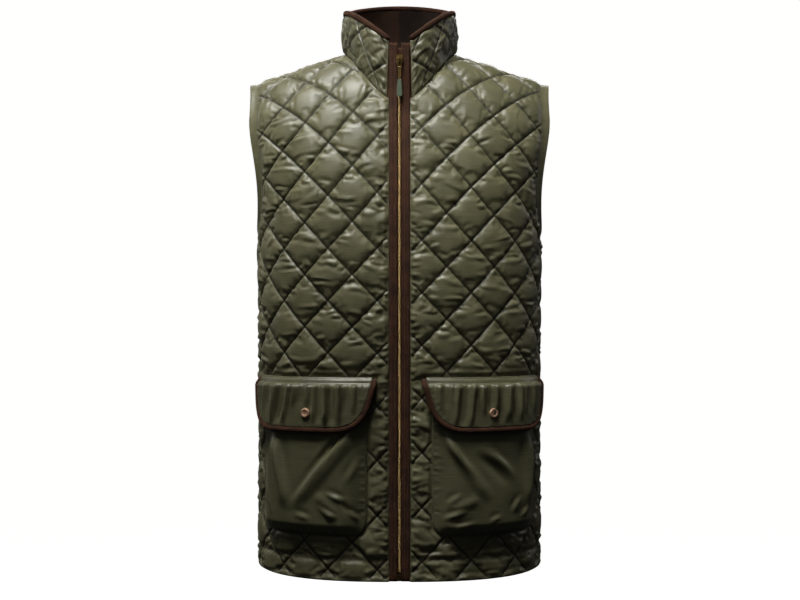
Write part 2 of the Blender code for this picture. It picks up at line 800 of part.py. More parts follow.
def make_opening(chain_material, strip_material):
    """The zip's closed chain and the brown strip on each side of it."""
    lie = -0.0004
    width = STRIP_OUTER - STRIP_INNER
    half = STRIP_THICKNESS / 2
    crown = [(-width / 2, -half), (width / 2, -half), (width / 2, 0.3 * half), (0.3 * width, half)]
    crown += [(-0.3 * width, half), (-width / 2, 0.3 * half)]
    for name, sign in (("zip_strip_left", 1), ("zip_strip_right", -1)):
        path = opening_path(sign * (STRIP_INNER + STRIP_OUTER) / 2, lie + half, STRIP_END_UP)
        sweep(name, path, [np.array([1.0, 0, 0])] * len(path), crown, strip_material)
    path = opening_path(1e-5, lie + CHAIN_THICKNESS / 2, SLIDER_UP - 0.11)
    section = oval_section(CHAIN_HALF_WIDTH, CHAIN_THICKNESS / 2, sides=6)
    bottom = path[0] + (path[1] - path[0]) * 0.32
    sweep("zip_chain", [bottom, *path[1:]], [np.array([1.0, 0, 0])] * len(path), section, chain_material)


def frame_at(origin, up_vector, out_vector):
    """A matrix with X across, -Y out of the cloth and Z up it."""
    up = Vector(up_vector).normalized()
    out = Vector(out_vector)
    out = (out - up * out.dot(up)).normalized()
    across = up.cross(out)
    matrix = Matrix((across, -out, up)).transposed().to_4x4()
    matrix.translation = Vector(origin)
    return matrix


def box(mesh, size, centre, bevel=0.0):
    """A box in a mesh, its edges rounded."""
    made = bmesh.ops.create_cube(mesh, size=1.0, matrix=Matrix.Translation(centre) @ Matrix.Diagonal((*size, 1)))
    if bevel:
        edges = {edge for vert in made["verts"] for edge in vert.link_edges}
        bmesh.ops.bevel(mesh, geom=list(edges), offset=bevel, segments=2, affect="EDGES")


def rod(mesh, radius, start, end, sides=8):
    """A round rod in a mesh between two points."""
    start, end = Vector(start), Vector(end)
    turn = Vector((0, 0, 1)).rotation_difference(end - start).to_matrix().to_4x4()
    matrix = Matrix.Translation((start + end) / 2) @ turn
    bmesh.ops.create_cone(
        mesh,
        cap_ends=True,
        segments=sides,
        radius1=radius,
        radius2=radius,
        depth=(end - start).length,
        matrix=matrix,
    )


def placed(name, mesh, matrix, material):
    obj = finished(name, mesh, material)
    obj.matrix_world = matrix
    return obj


def union_of(name, meshes, matrix, material):
    """One object from several closed meshes, joined by Boolean unions."""
    first, *others = meshes
    obj = placed(name, first, matrix, material)
    for index, other in enumerate(others):
        cutter = placed(f"{name}_union_{index}", other, matrix, material)
        GARMENT.objects.unlink(cutter)
        HELPERS.objects.link(cutter)
        cutter.hide_render = True
        cutter.display_type = "WIRE"
        joint = obj.modifiers.new("union", "BOOLEAN")
        joint.operation = "UNION"
        joint.object = cutter
    return obj


def slider_frame():
    """The slider's frame: on the centre front of the collar, just clear of the strips."""
    up = SLIDER_UP * collar_height(0.0)
    stands = STRIP_THICKNESS + SEAM_GAP + SLIDER_SIZE[1] / 2
    origin = COLLAR_FORM.at(1e-5, up, stands)
    above = COLLAR_FORM.at(1e-5, up + 0.004, stands)
    below = COLLAR_FORM.at(1e-5, up - 0.004, stands)
    return frame_at(origin, above - below, (0, -1, 0))


def make_slider(material):
    """The slider's body with the arch that the pull hangs on."""
    body, arch = bmesh.new(), bmesh.new()
    box(body, SLIDER_SIZE, (0, 0, 0), bevel=0.0011)
    face = -SLIDER_SIZE[1] / 2
    box(arch, (2 * ARCH_RADIUS, ARCH_STANDS + 0.001, 2 * ARCH_HALF_HEIGHT), (0, face - ARCH_STANDS / 2 + 0.0005, 0))
    eye = bmesh.new()
    rod(eye, ARCH_EYE_RADIUS, (-0.01, hinge_offset(), 0), (0.01, hinge_offset(), 0), sides=12)
    obj = union_of("zip_slider", [body, arch], slider_frame(), material)
    cutter = placed("zip_slider_eye", eye, slider_frame(), material)
    GARMENT.objects.unlink(cutter)
    HELPERS.objects.link(cutter)
    cutter.hide_render = True
    cutter.display_type = "WIRE"
    cut = obj.modifiers.new("eye", "BOOLEAN")
    cut.operation = "DIFFERENCE"
    cut.object = cutter
    return obj


def hinge_offset():
    """How far out of the slider's middle the pull's crossbar lies."""
    return -SLIDER_SIZE[1] / 2 - HINGE_STANDS


def flat_plate(name, loops, thickness, bevel, matrix, material):
    """A plate in the XZ plane from its outline and its holes, with rounded edges."""
    data = bpy.data.curves.new(name, "CURVE")
    data.dimensions = "2D"
    data.fill_mode = "BOTH"
    data.extrude = thickness / 2 - bevel
    data.bevel_depth = bevel
    data.bevel_resolution = 1
    data.offset = -bevel
    for loop in loops:
        spline = data.splines.new("POLY")
        spline.points.add(len(loop) - 1)
        for point, (x, z) in zip(spline.points, loop):
            point.co = (x, z, 0, 1)
        spline.use_cyclic_u = True
    data.materials.append(material)
    obj = bpy.data.objects.new(name, data)
    GARMENT.objects.link(obj)
    obj.matrix_world = matrix @ Matrix.Rotation(math.pi / 2, 4, "X")
    return obj


def make_pull(metal, rubber):
    """The pull's metal link, with its crossbar in the slider's arch, and the moulded grip on its stem."""
    hinge = slider_frame() @ Matrix.Translation((0, hinge_offset(), 0))
    half, bar = PULL_LINK_WIDTH / 2, PULL_BAR / 2
    stem, low = PULL_STEM_WIDTH / 2, -PULL_ARM_LENGTH
    shoulder = low - (half - stem)
    end = shoulder - PULL_STEM_LENGTH
    outer = [(half, bar), (-half, bar), (-half, low), (-stem, shoulder), (-stem, end)]
    outer += [(stem, end), (stem, shoulder), (half, low)]
    eye = half - PULL_BAR
    hole = [(eye, -bar), (-eye, -bar), (-eye, low + PULL_BAR), (eye, low + PULL_BAR)]
    flat_plate("zip_pull_link", [outer, hole], PULL_LINK_THICKNESS, 0.0002, hinge, metal)
    top = end - SEAM_GAP
    neck, flare, tip = PULL_GRIP_NECK / 2, PULL_GRIP_WIDTH / 2, top - PULL_GRIP_LENGTH
    grip = [(neck, top), (-neck, top), (-0.85 * flare, top - 0.4 * PULL_GRIP_LENGTH)]
    grip += [(-flare, tip + 0.0028), (-0.75 * flare, tip), (0.75 * flare, tip), (flare, tip + 0.0028)]
    grip += [(0.85 * flare, top - 0.4 * PULL_GRIP_LENGTH)]
    flat_plate("zip_pull_grip", [grip], PULL_GRIP_THICKNESS, 0.0008, hinge, rubber)


def make_zip_box(material):
    """The retainer box at the zip's lower end."""
    mesh = bmesh.new()
    box(mesh, BOX_SIZE, (0, 0, 0), bevel=0.0008)
    up = HEM_UP + BOX_SIZE[2] / 2 + 0.001
    stands = STRIP_THICKNESS + SEAM_GAP + BOX_SIZE[1] / 2
    origin = FRONT_FORM.at(1e-5, up, stands)
    above = FRONT_FORM.at(1e-5, up + 0.004, stands)
    placed("zip_box", mesh, frame_at(origin, above - origin, (0, -1, 0)), material)


# Pockets, flaps and snaps


def fold_rise(points, folds):
    """The height that a pocket's folds add at each point of cloth, fading towards each fold's ends."""
    across_up = np.stack([np.abs(points[:, 0]), points[:, 1]], axis=-1)
    rise = np.zeros(len(points))
    for fold in folds:
        start = np.array([fold.across, fold.height - UNDERARM.height])
        run = np.array([fold.to_across, fold.to_height - UNDERARM.height]) - start
        along = np.clip((across_up - start) @ run / run.dot(run), 0, 1)
        off = np.linalg.norm(across_up - start - along[:, None] * run, axis=1)
        ends = ease(along / 0.25) * ease((1 - along) / 0.25)
        rise += fold.rise * ends * ease(1 - off / fold.half_width)
    return rise


def pocket_lift(points, folds):
    """How far the pocket's cloth stands off the front, between its sewn sides and bottom and its mouth."""
    low, high = POCKET_BOTTOM - UNDERARM.height, POCKET_MOUTH - UNDERARM.height
    across, up = np.abs(points[:, 0]), points[:, 1]
    from_side = np.minimum(across - POCKET_INNER, POCKET_OUTER - across)
    sides = ease(from_side / POCKET_RISE_SIDE) ** 0.7
    bottom = ease((up - low) / POCKET_RISE_BOTTOM) ** 0.6
    toward_mouth = np.clip((up - low) / (high - low), 0, 1)
    bulge = POCKET_BULGE + (POCKET_MOUTH_BULGE - POCKET_BULGE) * ease(toward_mouth)
    return PATCH_GAP + (bulge + fold_rise(points, folds)) * sides * bottom


def make_pocket(side, material):
    edges = pocket_outline(POCKET_INNER, POCKET_OUTER, POCKET_BOTTOM, POCKET_MOUTH, POCKET_CORNER)
    outline, _ = joined_outline(edges, 0.009)
    if side == "right":
        outline = (outline * (-1, 1))[::-1]
    folds = POCKET_FOLDS[side]
    return plain_wall(
        f"pocket_{side}",
        FRONT_FORM,
        outline,
        (0.0125, 0.0125),
        lambda points: pocket_lift(points, folds) + POCKET_WALL,
        lambda points: pocket_lift(points, folds),
        material,
    )


def rounded_corner(before, corner, after, radius):
    """Points of a smooth bend from one straight side to the next."""
    before, corner, after = np.array(before), np.array(corner), np.array(after)
    start = corner + (before - corner) * radius / np.linalg.norm(before - corner)
    end = corner + (after - corner) * radius / np.linalg.norm(after - corner)
    shares = np.linspace(0, 1, 8)[:, None]
    return list((1 - shares) ** 2 * start + 2 * shares * (1 - shares) * corner + shares**2 * end)


def flap_edges():
    """Top, slanted sides and round lower corners of a flap, anticlockwise from its upper inner corner."""
    low, high = FLAP_BOTTOM - UNDERARM.height, FLAP_TOP - UNDERARM.height
    upper_near, upper_far = (FLAP_INNER, high), (FLAP_OUTER, high)
    near, far = (FLAP_INNER + FLAP_SLANT, low), (FLAP_OUTER - 0.35 * FLAP_SLANT, low)
    bound = [upper_near]
    bound += rounded_corner(upper_near, near, far, FLAP_CORNER)
    bound += rounded_corner(near, far, upper_far, FLAP_CORNER)
    bound += [upper_far]
    return bound, [upper_far, upper_near]


def gather_sink(points, gathers):
    """How far a flap's gathers sink its cloth at each point, fading out down the flap."""
    down = FLAP_TOP - UNDERARM.height - points[:, 1]
    sink = np.zeros(len(points))
    for gather in gathers:
        centre = gather.across + gather.lean * down / gather.length
        off = np.abs(np.abs(points[:, 0]) - centre)
        ends = ease((down - 0.004) / 0.012) * ease((gather.length + 0.008 - down) / 0.018)
        sink += gather.depth * ends * ease(1 - off / gather.half_width)
    return sink


def flap_lift(points, side):
    """How far the flap's underside stands off the front: sewn down at its top, then clear over the pocket."""
    folds = POCKET_FOLDS[side]
    over = np.clip(np.abs(points[:, 0]), POCKET_INNER, POCKET_OUTER)
    middle = np.clip(over, POCKET_INNER + POCKET_RISE_SIDE, POCKET_OUTER - POCKET_RISE_SIDE)
    pocket = pocket_lift(np.stack([over, points[:, 1]], axis=-1), folds)
    crest = pocket_lift(np.stack([middle, points[:, 1]], axis=-1), folds)
    clear = np.maximum(0.35 * pocket + 0.65 * crest, pocket) + POCKET_WALL + FLAP_CLEARANCE
    top = FLAP_TOP - UNDERARM.height
    drop = ease((top - points[:, 1]) / FLAP_SOFT_TOP)
    return PATCH_GAP + (clear - PATCH_GAP) * drop


def make_flap(side, material):
    bound, top = flap_edges()
    outline, _ = joined_outline([("bound", bound), ("top", top)], FLAP_EDGE_STEP)
    if side == "right":
        outline = (outline * (-1, 1))[::-1]
    gathers = FLAP_GATHERS[side]
    return plain_wall(
        f"flap_{side}",
        FRONT_FORM,
        outline,
        (0.0065, 0.0150),
        lambda points: flap_lift(points, side) + FLAP_WALL - gather_sink(points, gathers),
        lambda points: flap_lift(points, side),
        material,
    )


def make_flap_binding(side, material):
    """The rounded binding round a flap's sides and lower edge."""
    bound, _ = flap_edges()
    line = resampled(bound, FLAP_EDGE_STEP)
    runs = np.gradient(line, axis=0)
    runs /= np.linalg.norm(runs, axis=1)[:, None]
    outward = np.stack([runs[:, 1], -runs[:, 0]], axis=-1)
    centre = line + outward * (FLAP_BINDING_HALF_WIDTH + SEAM_GAP)
    sign = -1 if side == "right" else 1
    path, sides = [], []
    for (across, up), heading in zip(centre, outward):
        height = float(flap_lift(np.array([[across, up]]), side)[0]) + FLAP_WALL / 2
        height = max(height, FLAP_BINDING_HALF_THICKNESS + PATCH_GAP)
        point = FRONT_FORM.at(sign * across, up, height)
        path.append(point)
        beyond = FRONT_FORM.at(sign * (across + heading[0] * 0.002), up + heading[1] * 0.002, height)
        sides.append(beyond - point)
    section = oval_section(FLAP_BINDING_HALF_WIDTH, FLAP_BINDING_HALF_THICKNESS, sides=6)
    return sweep(f"flap_binding_{side}", path, sides, section, material)


def make_snap(side, material):
    """A domed snap cap on a flap, clear of the cloth under it."""
    across = -SNAP_ACROSS if side == "right" else SNAP_ACROSS
    up = SNAP_HEIGHT - UNDERARM.height
    lift = float(flap_lift(np.array([[across, up]]), side)[0])
    stands = lift + FLAP_WALL + 2 * SEAM_GAP + SNAP_THICKNESS / 2
    origin = FRONT_FORM.at(across, up, stands)
    out = FRONT_FORM.at(across, up, stands + 0.01) - origin
    above = FRONT_FORM.at(across, up + 0.004, stands) - FRONT_FORM.at(across, up - 0.004, stands)
    mesh = bmesh.new()
    rod(mesh, SNAP_RADIUS, (0, SNAP_THICKNESS / 2, 0), (0, -SNAP_THICKNESS / 2, 0), sides=20)
    front_rim = [edge for edge in mesh.edges if all(vert.co.y < 0 for vert in edge.verts)]
    bmesh.ops.bevel(mesh, geom=front_rim, offset=0.0010, segments=2, affect="EDGES")
    placed(f"snap_{side}", mesh, frame_at(origin, above, out), material)


# Materials and the whole garment


def colour(hex_value):
    """Linear colour of an sRGB hex value."""
    parts = [int(hex_value[i : i + 2], 16) / 255 for i in (0, 2, 4)]
    return [part / 12.92 if part <= 0.04045 else ((part + 0.055) / 1.055) ** 2.4 for part in parts] + [1.0]


def make_material(name, hex_value, roughness, metallic=0.0):
    material = bpy.data.materials.new(name)
    material.use_nodes = True
    shader = material.node_tree.nodes["Principled BSDF"]
    shader.inputs["Base Color"].default_value = colour(hex_value)
    shader.inputs["Roughness"].default_value = roughness
    shader.inputs["Metallic"].default_value = metallic
    material.diffuse_color = colour(hex_value)
    return material


def clear_scene():
    for obj in list(bpy.data.objects):
        bpy.data.objects.remove(obj, do_unlink=True)


def new_collection(name):
    collection = bpy.data.collections.new(name)
    bpy.context.scene.collection.children.link(collection)
    return collection


clear_scene()
GARMENT = new_collection("quilted_gilet")
HELPERS = new_collection("cutters")

olive_nylon = make_material("olive_nylon", "56553F", 0.42)
brown_suede = make_material("brown_suede", "3A2417", 0.85)
brass = make_material("antique_brass", "8C7340", 0.35, metallic=1.0)
copper = make_material("copper_cap", "A98468", 0.35, metallic=1.0)
green_rubber = make_material("green_rubber", "46533F", 0.55)

make_front("front_left", False, olive_nylon)
make_front("front_right", True, olive_nylon)
make_back("back", olive_nylon)
make_collar(olive_nylon)
make_facing("collar_facing_left", False, brown_suede)
make_facing("collar_facing_right", True, brown_suede)
make_collar_binding(brown_suede)
make_opening(brass, brown_suede)
make_slider(brass)
make_pull(brass, green_rubber)
make_zip_box(brass)
for side in ("left", "right"):
    make_pocket(side, olive_nylon)
    make_flap(side, olive_nylon)
    make_flap_binding(side, brown_suede)
    make_snap(side, copper)
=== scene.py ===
"""Quilted gilet: the finished cloth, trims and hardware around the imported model.

Each cloth piece is cut flat, in metres of cloth across and up, padded where it is quilted, and formed on the same
plain figure as the solids. The origin lies midway between the neck ends of the shoulder seams, the front faces -Y.
"""

from __future__ import annotations

import json
import logging
import math
from dataclasses import dataclass, field
from enum import Enum
from typing import Any, Callable, Iterable, Sequence

import bmesh
import bpy
import numpy as np
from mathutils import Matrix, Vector
from mathutils.bvhtree import BVHTree
from mathutils.geometry import delaunay_2d_cdt
from mathutils.kdtree import KDTree

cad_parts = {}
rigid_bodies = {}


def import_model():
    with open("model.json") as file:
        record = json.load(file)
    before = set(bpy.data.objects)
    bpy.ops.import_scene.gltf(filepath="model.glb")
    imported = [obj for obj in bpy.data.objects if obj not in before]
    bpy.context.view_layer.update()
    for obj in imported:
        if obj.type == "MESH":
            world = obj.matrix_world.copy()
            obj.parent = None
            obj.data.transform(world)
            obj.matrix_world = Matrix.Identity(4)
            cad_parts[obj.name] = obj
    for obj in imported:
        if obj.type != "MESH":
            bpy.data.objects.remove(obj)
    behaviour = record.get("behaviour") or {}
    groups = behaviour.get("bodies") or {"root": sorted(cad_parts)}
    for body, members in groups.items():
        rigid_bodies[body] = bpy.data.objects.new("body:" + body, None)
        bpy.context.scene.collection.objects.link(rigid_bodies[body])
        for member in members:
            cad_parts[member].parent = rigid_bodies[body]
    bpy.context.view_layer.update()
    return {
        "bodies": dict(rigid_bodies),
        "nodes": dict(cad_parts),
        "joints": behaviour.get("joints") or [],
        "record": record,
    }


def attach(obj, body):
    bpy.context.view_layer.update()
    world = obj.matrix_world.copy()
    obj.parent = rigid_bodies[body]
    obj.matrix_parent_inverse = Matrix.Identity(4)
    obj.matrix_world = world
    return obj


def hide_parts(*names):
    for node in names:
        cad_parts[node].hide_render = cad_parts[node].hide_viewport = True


LOG = logging.getLogger("gilet")
BODY = "gilet"
CLOTH_MAP = "cloth"
# Mask of the quilting lines where the cloth is painted dark: partly the dark thread's own colour, partly painted shade
# in the stitched groove.
THREAD_AND_GROOVE_SHADE = "thread_and_groove_shade"
SEAM_GAP = 0.0003
LINE_SAMPLE = 0.0004
FILL_SHARE = 0.45
TINY = 1e-9


class Face(Enum):
    """The two faces of the body that panels are cut for."""

    FRONT = -1
    BACK = 1


class Side(Enum):
    """The wearer's sides, with the sign of X there."""

    LEFT = 1
    RIGHT = -1

    @property
    def word(self) -> str:
        """The side's name as the nodes have it."""
        return self.name.lower()


# Small tools for lines and flat cloth


def ease(share: np.ndarray | float) -> np.ndarray:
    """Smooth step from 0 to 1."""
    share = np.clip(share, 0.0, 1.0)
    return share * share * (3 - 2 * share)


def lengths_along(points: np.ndarray) -> np.ndarray:
    """Distance along a line at each of its points."""
    steps = np.linalg.norm(np.diff(points, axis=0), axis=1)
    return np.concatenate([[0], np.cumsum(steps)])


def unit(vectors: np.ndarray) -> np.ndarray:
    """Vectors brought to length 1."""
    return vectors / np.maximum(np.linalg.norm(vectors, axis=-1, keepdims=True), TINY)


def resampled(points: Sequence, step: float) -> np.ndarray:
    """Points evenly spaced along a line, with its two ends kept.

    Args:
        points: The line's points, in two or three dimensions.
        step: The spacing to come close to, in metres.

    Returns:
        The new points.
    """
    line = np.array(points, dtype=float)
    lengths = lengths_along(line)
    targets = np.linspace(0, lengths[-1], max(1, round(lengths[-1] / step)) + 1)
    return np.stack([np.interp(targets, lengths, line[:, i]) for i in range(line.shape[1])], axis=-1)


def distance_to(points: np.ndarray, line: np.ndarray, closed: bool = True) -> np.ndarray:
    """Least distance from each flat point to a line, by a search among close samples of the line.

    Args:
        points: The flat points.
        line: The line's points.
        closed: Whether the line's last point joins its first.

    Returns:
        One distance for each point.
    """
    samples = resampled(np.concatenate([line, line[:1]]) if closed else line, LINE_SAMPLE)
    tree = KDTree(len(samples))
    for index, (across, up) in enumerate(samples.tolist()):
        tree.insert((across, up, 0.0), index)
    tree.balance()
    return np.array([tree.find((across, up, 0.0))[2] for across, up in points.tolist()])


def inside(points: np.ndarray, line: np.ndarray) -> np.ndarray:
    """Which flat points lie inside a closed line."""
    ends = np.roll(line, -1, axis=0)
    rise = np.where(ends[:, 1] == line[:, 1], 1e-12, ends[:, 1] - line[:, 1])
    found = []
    for block in np.array_split(points, max(1, len(points) // 2000)):
        across, up = block[:, None, 0], block[:, None, 1]
        straddles = (line[:, 1] > up) != (ends[:, 1] > up)
        crossings = straddles & (across < line[:, 0] + (up - line[:, 1]) / rise * (ends[:, 0] - line[:, 0]))
        found.append(crossings.sum(axis=1) % 2 == 1)
    return np.concatenate(found)


def kept_inside(points: np.ndarray, outline: np.ndarray, clearance: float) -> np.ndarray:
    """The points inside an outline and at least a clearance from it."""
    kept = points[inside(points, outline)]
    return kept[distance_to(kept, outline) > clearance] if len(kept) else kept


def staggered_points(outline: np.ndarray, step: float) -> np.ndarray:
    """A staggered grid of flat points over an outline's box."""
    low, high = outline.min(axis=0), outline.max(axis=0)
    columns = np.arange(low[0], high[0] + step, step)
    rows = np.arange(low[1] + step / 2, high[1], step * math.sqrt(3) / 2)
    grid = [np.stack([columns + (i % 2) * step / 2, np.full(len(columns), up)], axis=-1) for i, up in enumerate(rows)]
    return np.concatenate(grid)


def square_points(outline: np.ndarray, step: float) -> np.ndarray:
    """A square grid of flat points over an outline's box."""
    low, high = outline.min(axis=0), outline.max(axis=0)
    columns, rows = (np.arange(low[i] + step / 2, high[i], step) for i in (0, 1))
    return np.stack(np.meshgrid(columns, rows), axis=-1).reshape(-1, 2)


def cut_flat(outline: np.ndarray, fill: np.ndarray, lines: Iterable[np.ndarray] = ()) -> tuple:
    """Faces of a flat piece, joined to four-sided ones where they can be.

    Args:
        outline: The piece's closed outline, anticlockwise.
        fill: Points inside it.
        lines: Open lines inside it whose points and runs are kept.

    Returns:
        The flat points, the faces as tuples of indices, and the outline's indices.
    """
    parts, runs, count = [outline, fill], [], len(outline) + len(fill)
    for line in lines:
        runs += [(count + i, count + i + 1) for i in range(len(line) - 1)]
        parts.append(line)
        count += len(line)
    flat = [Vector(point) for point in np.concatenate(parts)]
    verts, _, faces, origins, _, _ = delaunay_2d_cdt(flat, runs, [list(range(len(outline)))], 1, 1e-7)
    place = [0] * len(flat)
    for index, sources in enumerate(origins):
        for source in sources:
            place[source] = index
    mesh = bmesh.new()
    made = [mesh.verts.new((*vert, 0)) for vert in verts]
    for face in faces:
        mesh.faces.new([made[i] for i in face])
    mesh.verts.index_update()
    mesh.normal_update()
    bmesh.ops.join_triangles(mesh, faces=mesh.faces[:], angle_face_threshold=0.1, angle_shape_threshold=0.7)
    joined = [tuple(vert.index for vert in face.verts) for face in mesh.faces]
    mesh.free()
    return np.array([tuple(vert) for vert in verts]), joined, place[: len(outline)]


# The figure that the cloth is formed on


@dataclass
class Form:
    """A surface that flat cloth is formed on, held as a table of points and mirrored about its middle."""

    table: np.ndarray
    across_step: float
    up_start: float
    up_step: float
    outward: int
    mirror: int = 1

    def place(self, flat: np.ndarray) -> np.ndarray:
        """The formed places of flat points."""
        rows, columns = self.table.shape[:2]
        at_up = np.clip((flat[:, 1] - self.up_start) / self.up_step, 0, rows - 1.001)
        at_across = np.clip(np.abs(flat[:, 0]) / self.across_step, 0, columns - 1.001)
        i, j = at_up.astype(int), at_across.astype(int)
        a, b = (at_up - i)[:, None], (at_across - j)[:, None]
        low = self.table[i, j] * (1 - b) + self.table[i, j + 1] * b
        high = self.table[i + 1, j] * (1 - b) + self.table[i + 1, j + 1] * b
        points = low * (1 - a) + high * a
        points[:, 0] *= np.where(flat[:, 0] < 0, -self.mirror, self.mirror)
        return points

    def normals(self, flat: np.ndarray, step: float = 0.002) -> np.ndarray:
        """Unit normals out of the cloth at flat points."""
        along = self.place(flat + (step, 0)) - self.place(flat - (step, 0))
        rise = self.place(flat + (0, step)) - self.place(flat - (0, step))
        return unit(self.outward * np.cross(along, rise))

    def at(self, flat: Sequence, heights: np.ndarray | float = 0.0) -> np.ndarray:
        """Formed places moved out along the normal by given heights."""
        flat = np.array(flat, dtype=float)
        heights = np.broadcast_to(heights, len(flat))
        return self.place(flat) + heights[:, None] * self.normals(flat)


@dataclass(frozen=True)
class Section:
    """One level of the torso: its height, its half width and its depths."""

    height: float
    half_width: float
    front_depth: float
    back_depth: float


@dataclass
class Figure:
    """The plain general figure: a torso of rounded sections under a shoulder dome."""

    sections: tuple[Section, ...] = (
        Section(-0.675, 0.1880, 0.128, 0.113),
        Section(-0.560, 0.1870, 0.127, 0.110),
        Section(-0.420, 0.1868, 0.126, 0.108),
        Section(-0.300, 0.1880, 0.128, 0.112),
        Section(-0.235, 0.1900, 0.128, 0.115),
    )
    squareness: float = 2.5
    hem_dip: float = 0.008
    hem_dip_start: float = -0.42
    roundness: float = 2.2
    spread: float = 0.031
    spread_angle: float = math.radians(48)
    slope: float = 0.33
    neck_point_height: float = 0.0058
    seam_angle: float = math.radians(84.5)
    nape_rise: float = 0.032
    reference_across: float = 0.11
    neck_half_width: float = 0.0735
    neck_front: float = 0.1015
    neck_back: float = 0.064
    armhole_top: float = -0.036
    armhole_front: float = 0.060
    armhole_back: float = 0.054
    forms: dict[Face, Form] = field(init=False)

    def __post_init__(self) -> None:
        """Works out the shares of a row, the dome's columns and the two formed surfaces."""
        turn = np.linspace(0.0, math.pi / 2, 160)
        self.across_share = np.sin(turn) ** (2 / self.squareness)
        self.outward_share = np.cos(turn) ** (2 / self.squareness)
        self.underarm = self.sections[-1]
        self.hem_up = self.sections[0].height - self.underarm.height
        self.columns = {face: self.measured_column(face) for face in Face}
        self.forms = {face: self.formed(face) for face in Face}

    def up(self, height: float) -> float:
        """Metres of cloth above the underarm for a height on the torso."""
        return height - self.underarm.height

    def shoulder_line(self, across: np.ndarray, face: Face) -> np.ndarray:
        """Height of the shoulder ridge, carried on over the neck hole."""
        dome = 1 - np.minimum(across / self.neck_half_width, 1) ** 2
        rise = self.nape_rise if face is Face.BACK else 0.0
        hump = self.slope * self.neck_half_width / 2 * dome + rise * dome**2
        return self.neck_point_height + np.where(dome > 0, hump, self.slope * (self.neck_half_width - across))

    def dome_half_width(self, angle: float) -> float:
        """Half width of the shoulder dome at an angle above the underarm level."""
        return self.underarm.half_width + self.spread * float(ease(angle / self.spread_angle))

    def dome_point(self, across: np.ndarray, outward: np.ndarray, angle: float, face: Face) -> np.ndarray:
        """Points of the shoulder dome at one angle."""
        lift = abs(math.sin(angle)) ** (2 / self.roundness)
        reach = math.copysign(abs(math.cos(angle)) ** (2 / self.roundness), math.cos(angle))
        in_front = (face is Face.FRONT) == (reach >= 0)
        depth = self.underarm.front_depth if in_front else self.underarm.back_depth
        y = face.value * depth * reach * outward
        z = self.underarm.height + (self.shoulder_line(across, face) - self.underarm.height) * lift
        return np.stack([across + 0 * y, y, z], axis=-1)

    def measured_column(self, face: Face) -> tuple[np.ndarray, np.ndarray]:
        """Angles up the dome, and the cloth's length up to each along the reference column."""
        angles = np.radians(np.linspace(0, 100, 201))
        points = []
        for angle in angles:
            share = self.reference_across / self.dome_half_width(angle)
            outward = np.array((1 - share**self.squareness) ** (1 / self.squareness))
            points.append(self.dome_point(np.array(self.reference_across), outward, angle, face))
        return angles, lengths_along(np.array(points))

    def row(self, up: float, face: Face) -> np.ndarray:
        """Half a row of cloth, from the centre line to the side."""
        if up > 0:
            angles, lengths = self.columns[face]
            angle = float(np.interp(up, lengths, angles))
            return self.dome_point(self.dome_half_width(angle) * self.across_share, self.outward_share, angle, face)
        height = self.underarm.height + up
        levels = [section.height for section in self.sections]
        depth_name = "front_depth" if face is Face.FRONT else "back_depth"
        depth = np.interp(height, levels, [getattr(section, depth_name) for section in self.sections])
        width = np.interp(height, levels, [section.half_width for section in self.sections])
        span = self.hem_dip_start - self.sections[0].height
        dip = self.hem_dip * ease((self.hem_dip_start - height) / span) if face is Face.FRONT else 0.0
        y = face.value * depth * self.outward_share
        return np.stack([width * self.across_share, y, height - dip * self.outward_share], axis=-1)

    def formed(self, face: Face) -> Form:
        """The formed surface of one face of the body."""
        ups = np.linspace(self.hem_up - 0.02, self.seam_up(face) + 0.03, 760)
        across = np.linspace(0, 0.33, 331)
        table = np.empty((len(ups), len(across), 3))
        for index, up in enumerate(ups):
            row = self.row(up, face)
            lengths = lengths_along(row)
            for axis in range(3):
                table[index, :, axis] = np.interp(across, lengths, row[:, axis])
        return Form(table, across[1], ups[0], ups[1] - ups[0], -face.value)

    def seam_up(self, face: Face) -> float:
        """Where the shoulder seam lies up the cloth, short of it by half the gap."""
        angles, lengths = self.columns[face]
        angle = self.seam_angle if face is Face.FRONT else math.pi - self.seam_angle
        return float(np.interp(angle, angles, lengths)) - SEAM_GAP / 2

    def row_limits(self, up: float, face: Face) -> tuple[float, float]:
        """Where a half row starts, at the centre or neckline, and ends, at the side or armhole."""
        points = self.row(up, face)
        lengths = lengths_along(points)
        start, end = 0.0, float(lengths[-1])
        depth = np.where(points[:, 1] < 0, self.neck_front, self.neck_back)
        neck = (points[:, 0] / self.neck_half_width) ** 2 + (points[:, 1] / depth) ** 2 - 1
        if up > 0 and neck[0] < 0:
            start = crossing(lengths, neck, int(np.argmax(neck > 0)) - 1)
        middle, half = (self.underarm.height + self.armhole_top) / 2, (self.armhole_top - self.underarm.height) / 2
        width = np.where(points[:, 1] < 0, self.armhole_front, self.armhole_back)
        arm = ((points[:, 2] - middle) / half) ** 2 + (points[:, 1] / width) ** 2 - 1
        beyond = (arm < 0) & (points[:, 0] > self.neck_half_width)
        if up > 0 and beyond.any():
            end = crossing(lengths, arm, int(np.argmax(beyond)) - 1)
        return start, end

    def neck_bottom_up(self, face: Face, across: float) -> float:
        """Where the neckline meets a column close to the centre."""
        low, high = 0.0, self.seam_up(face)
        for _ in range(40):
            middle = (low + high) / 2
            if self.row_limits(middle, face)[0] > across:
                high = middle
            else:
                low = middle
        return low

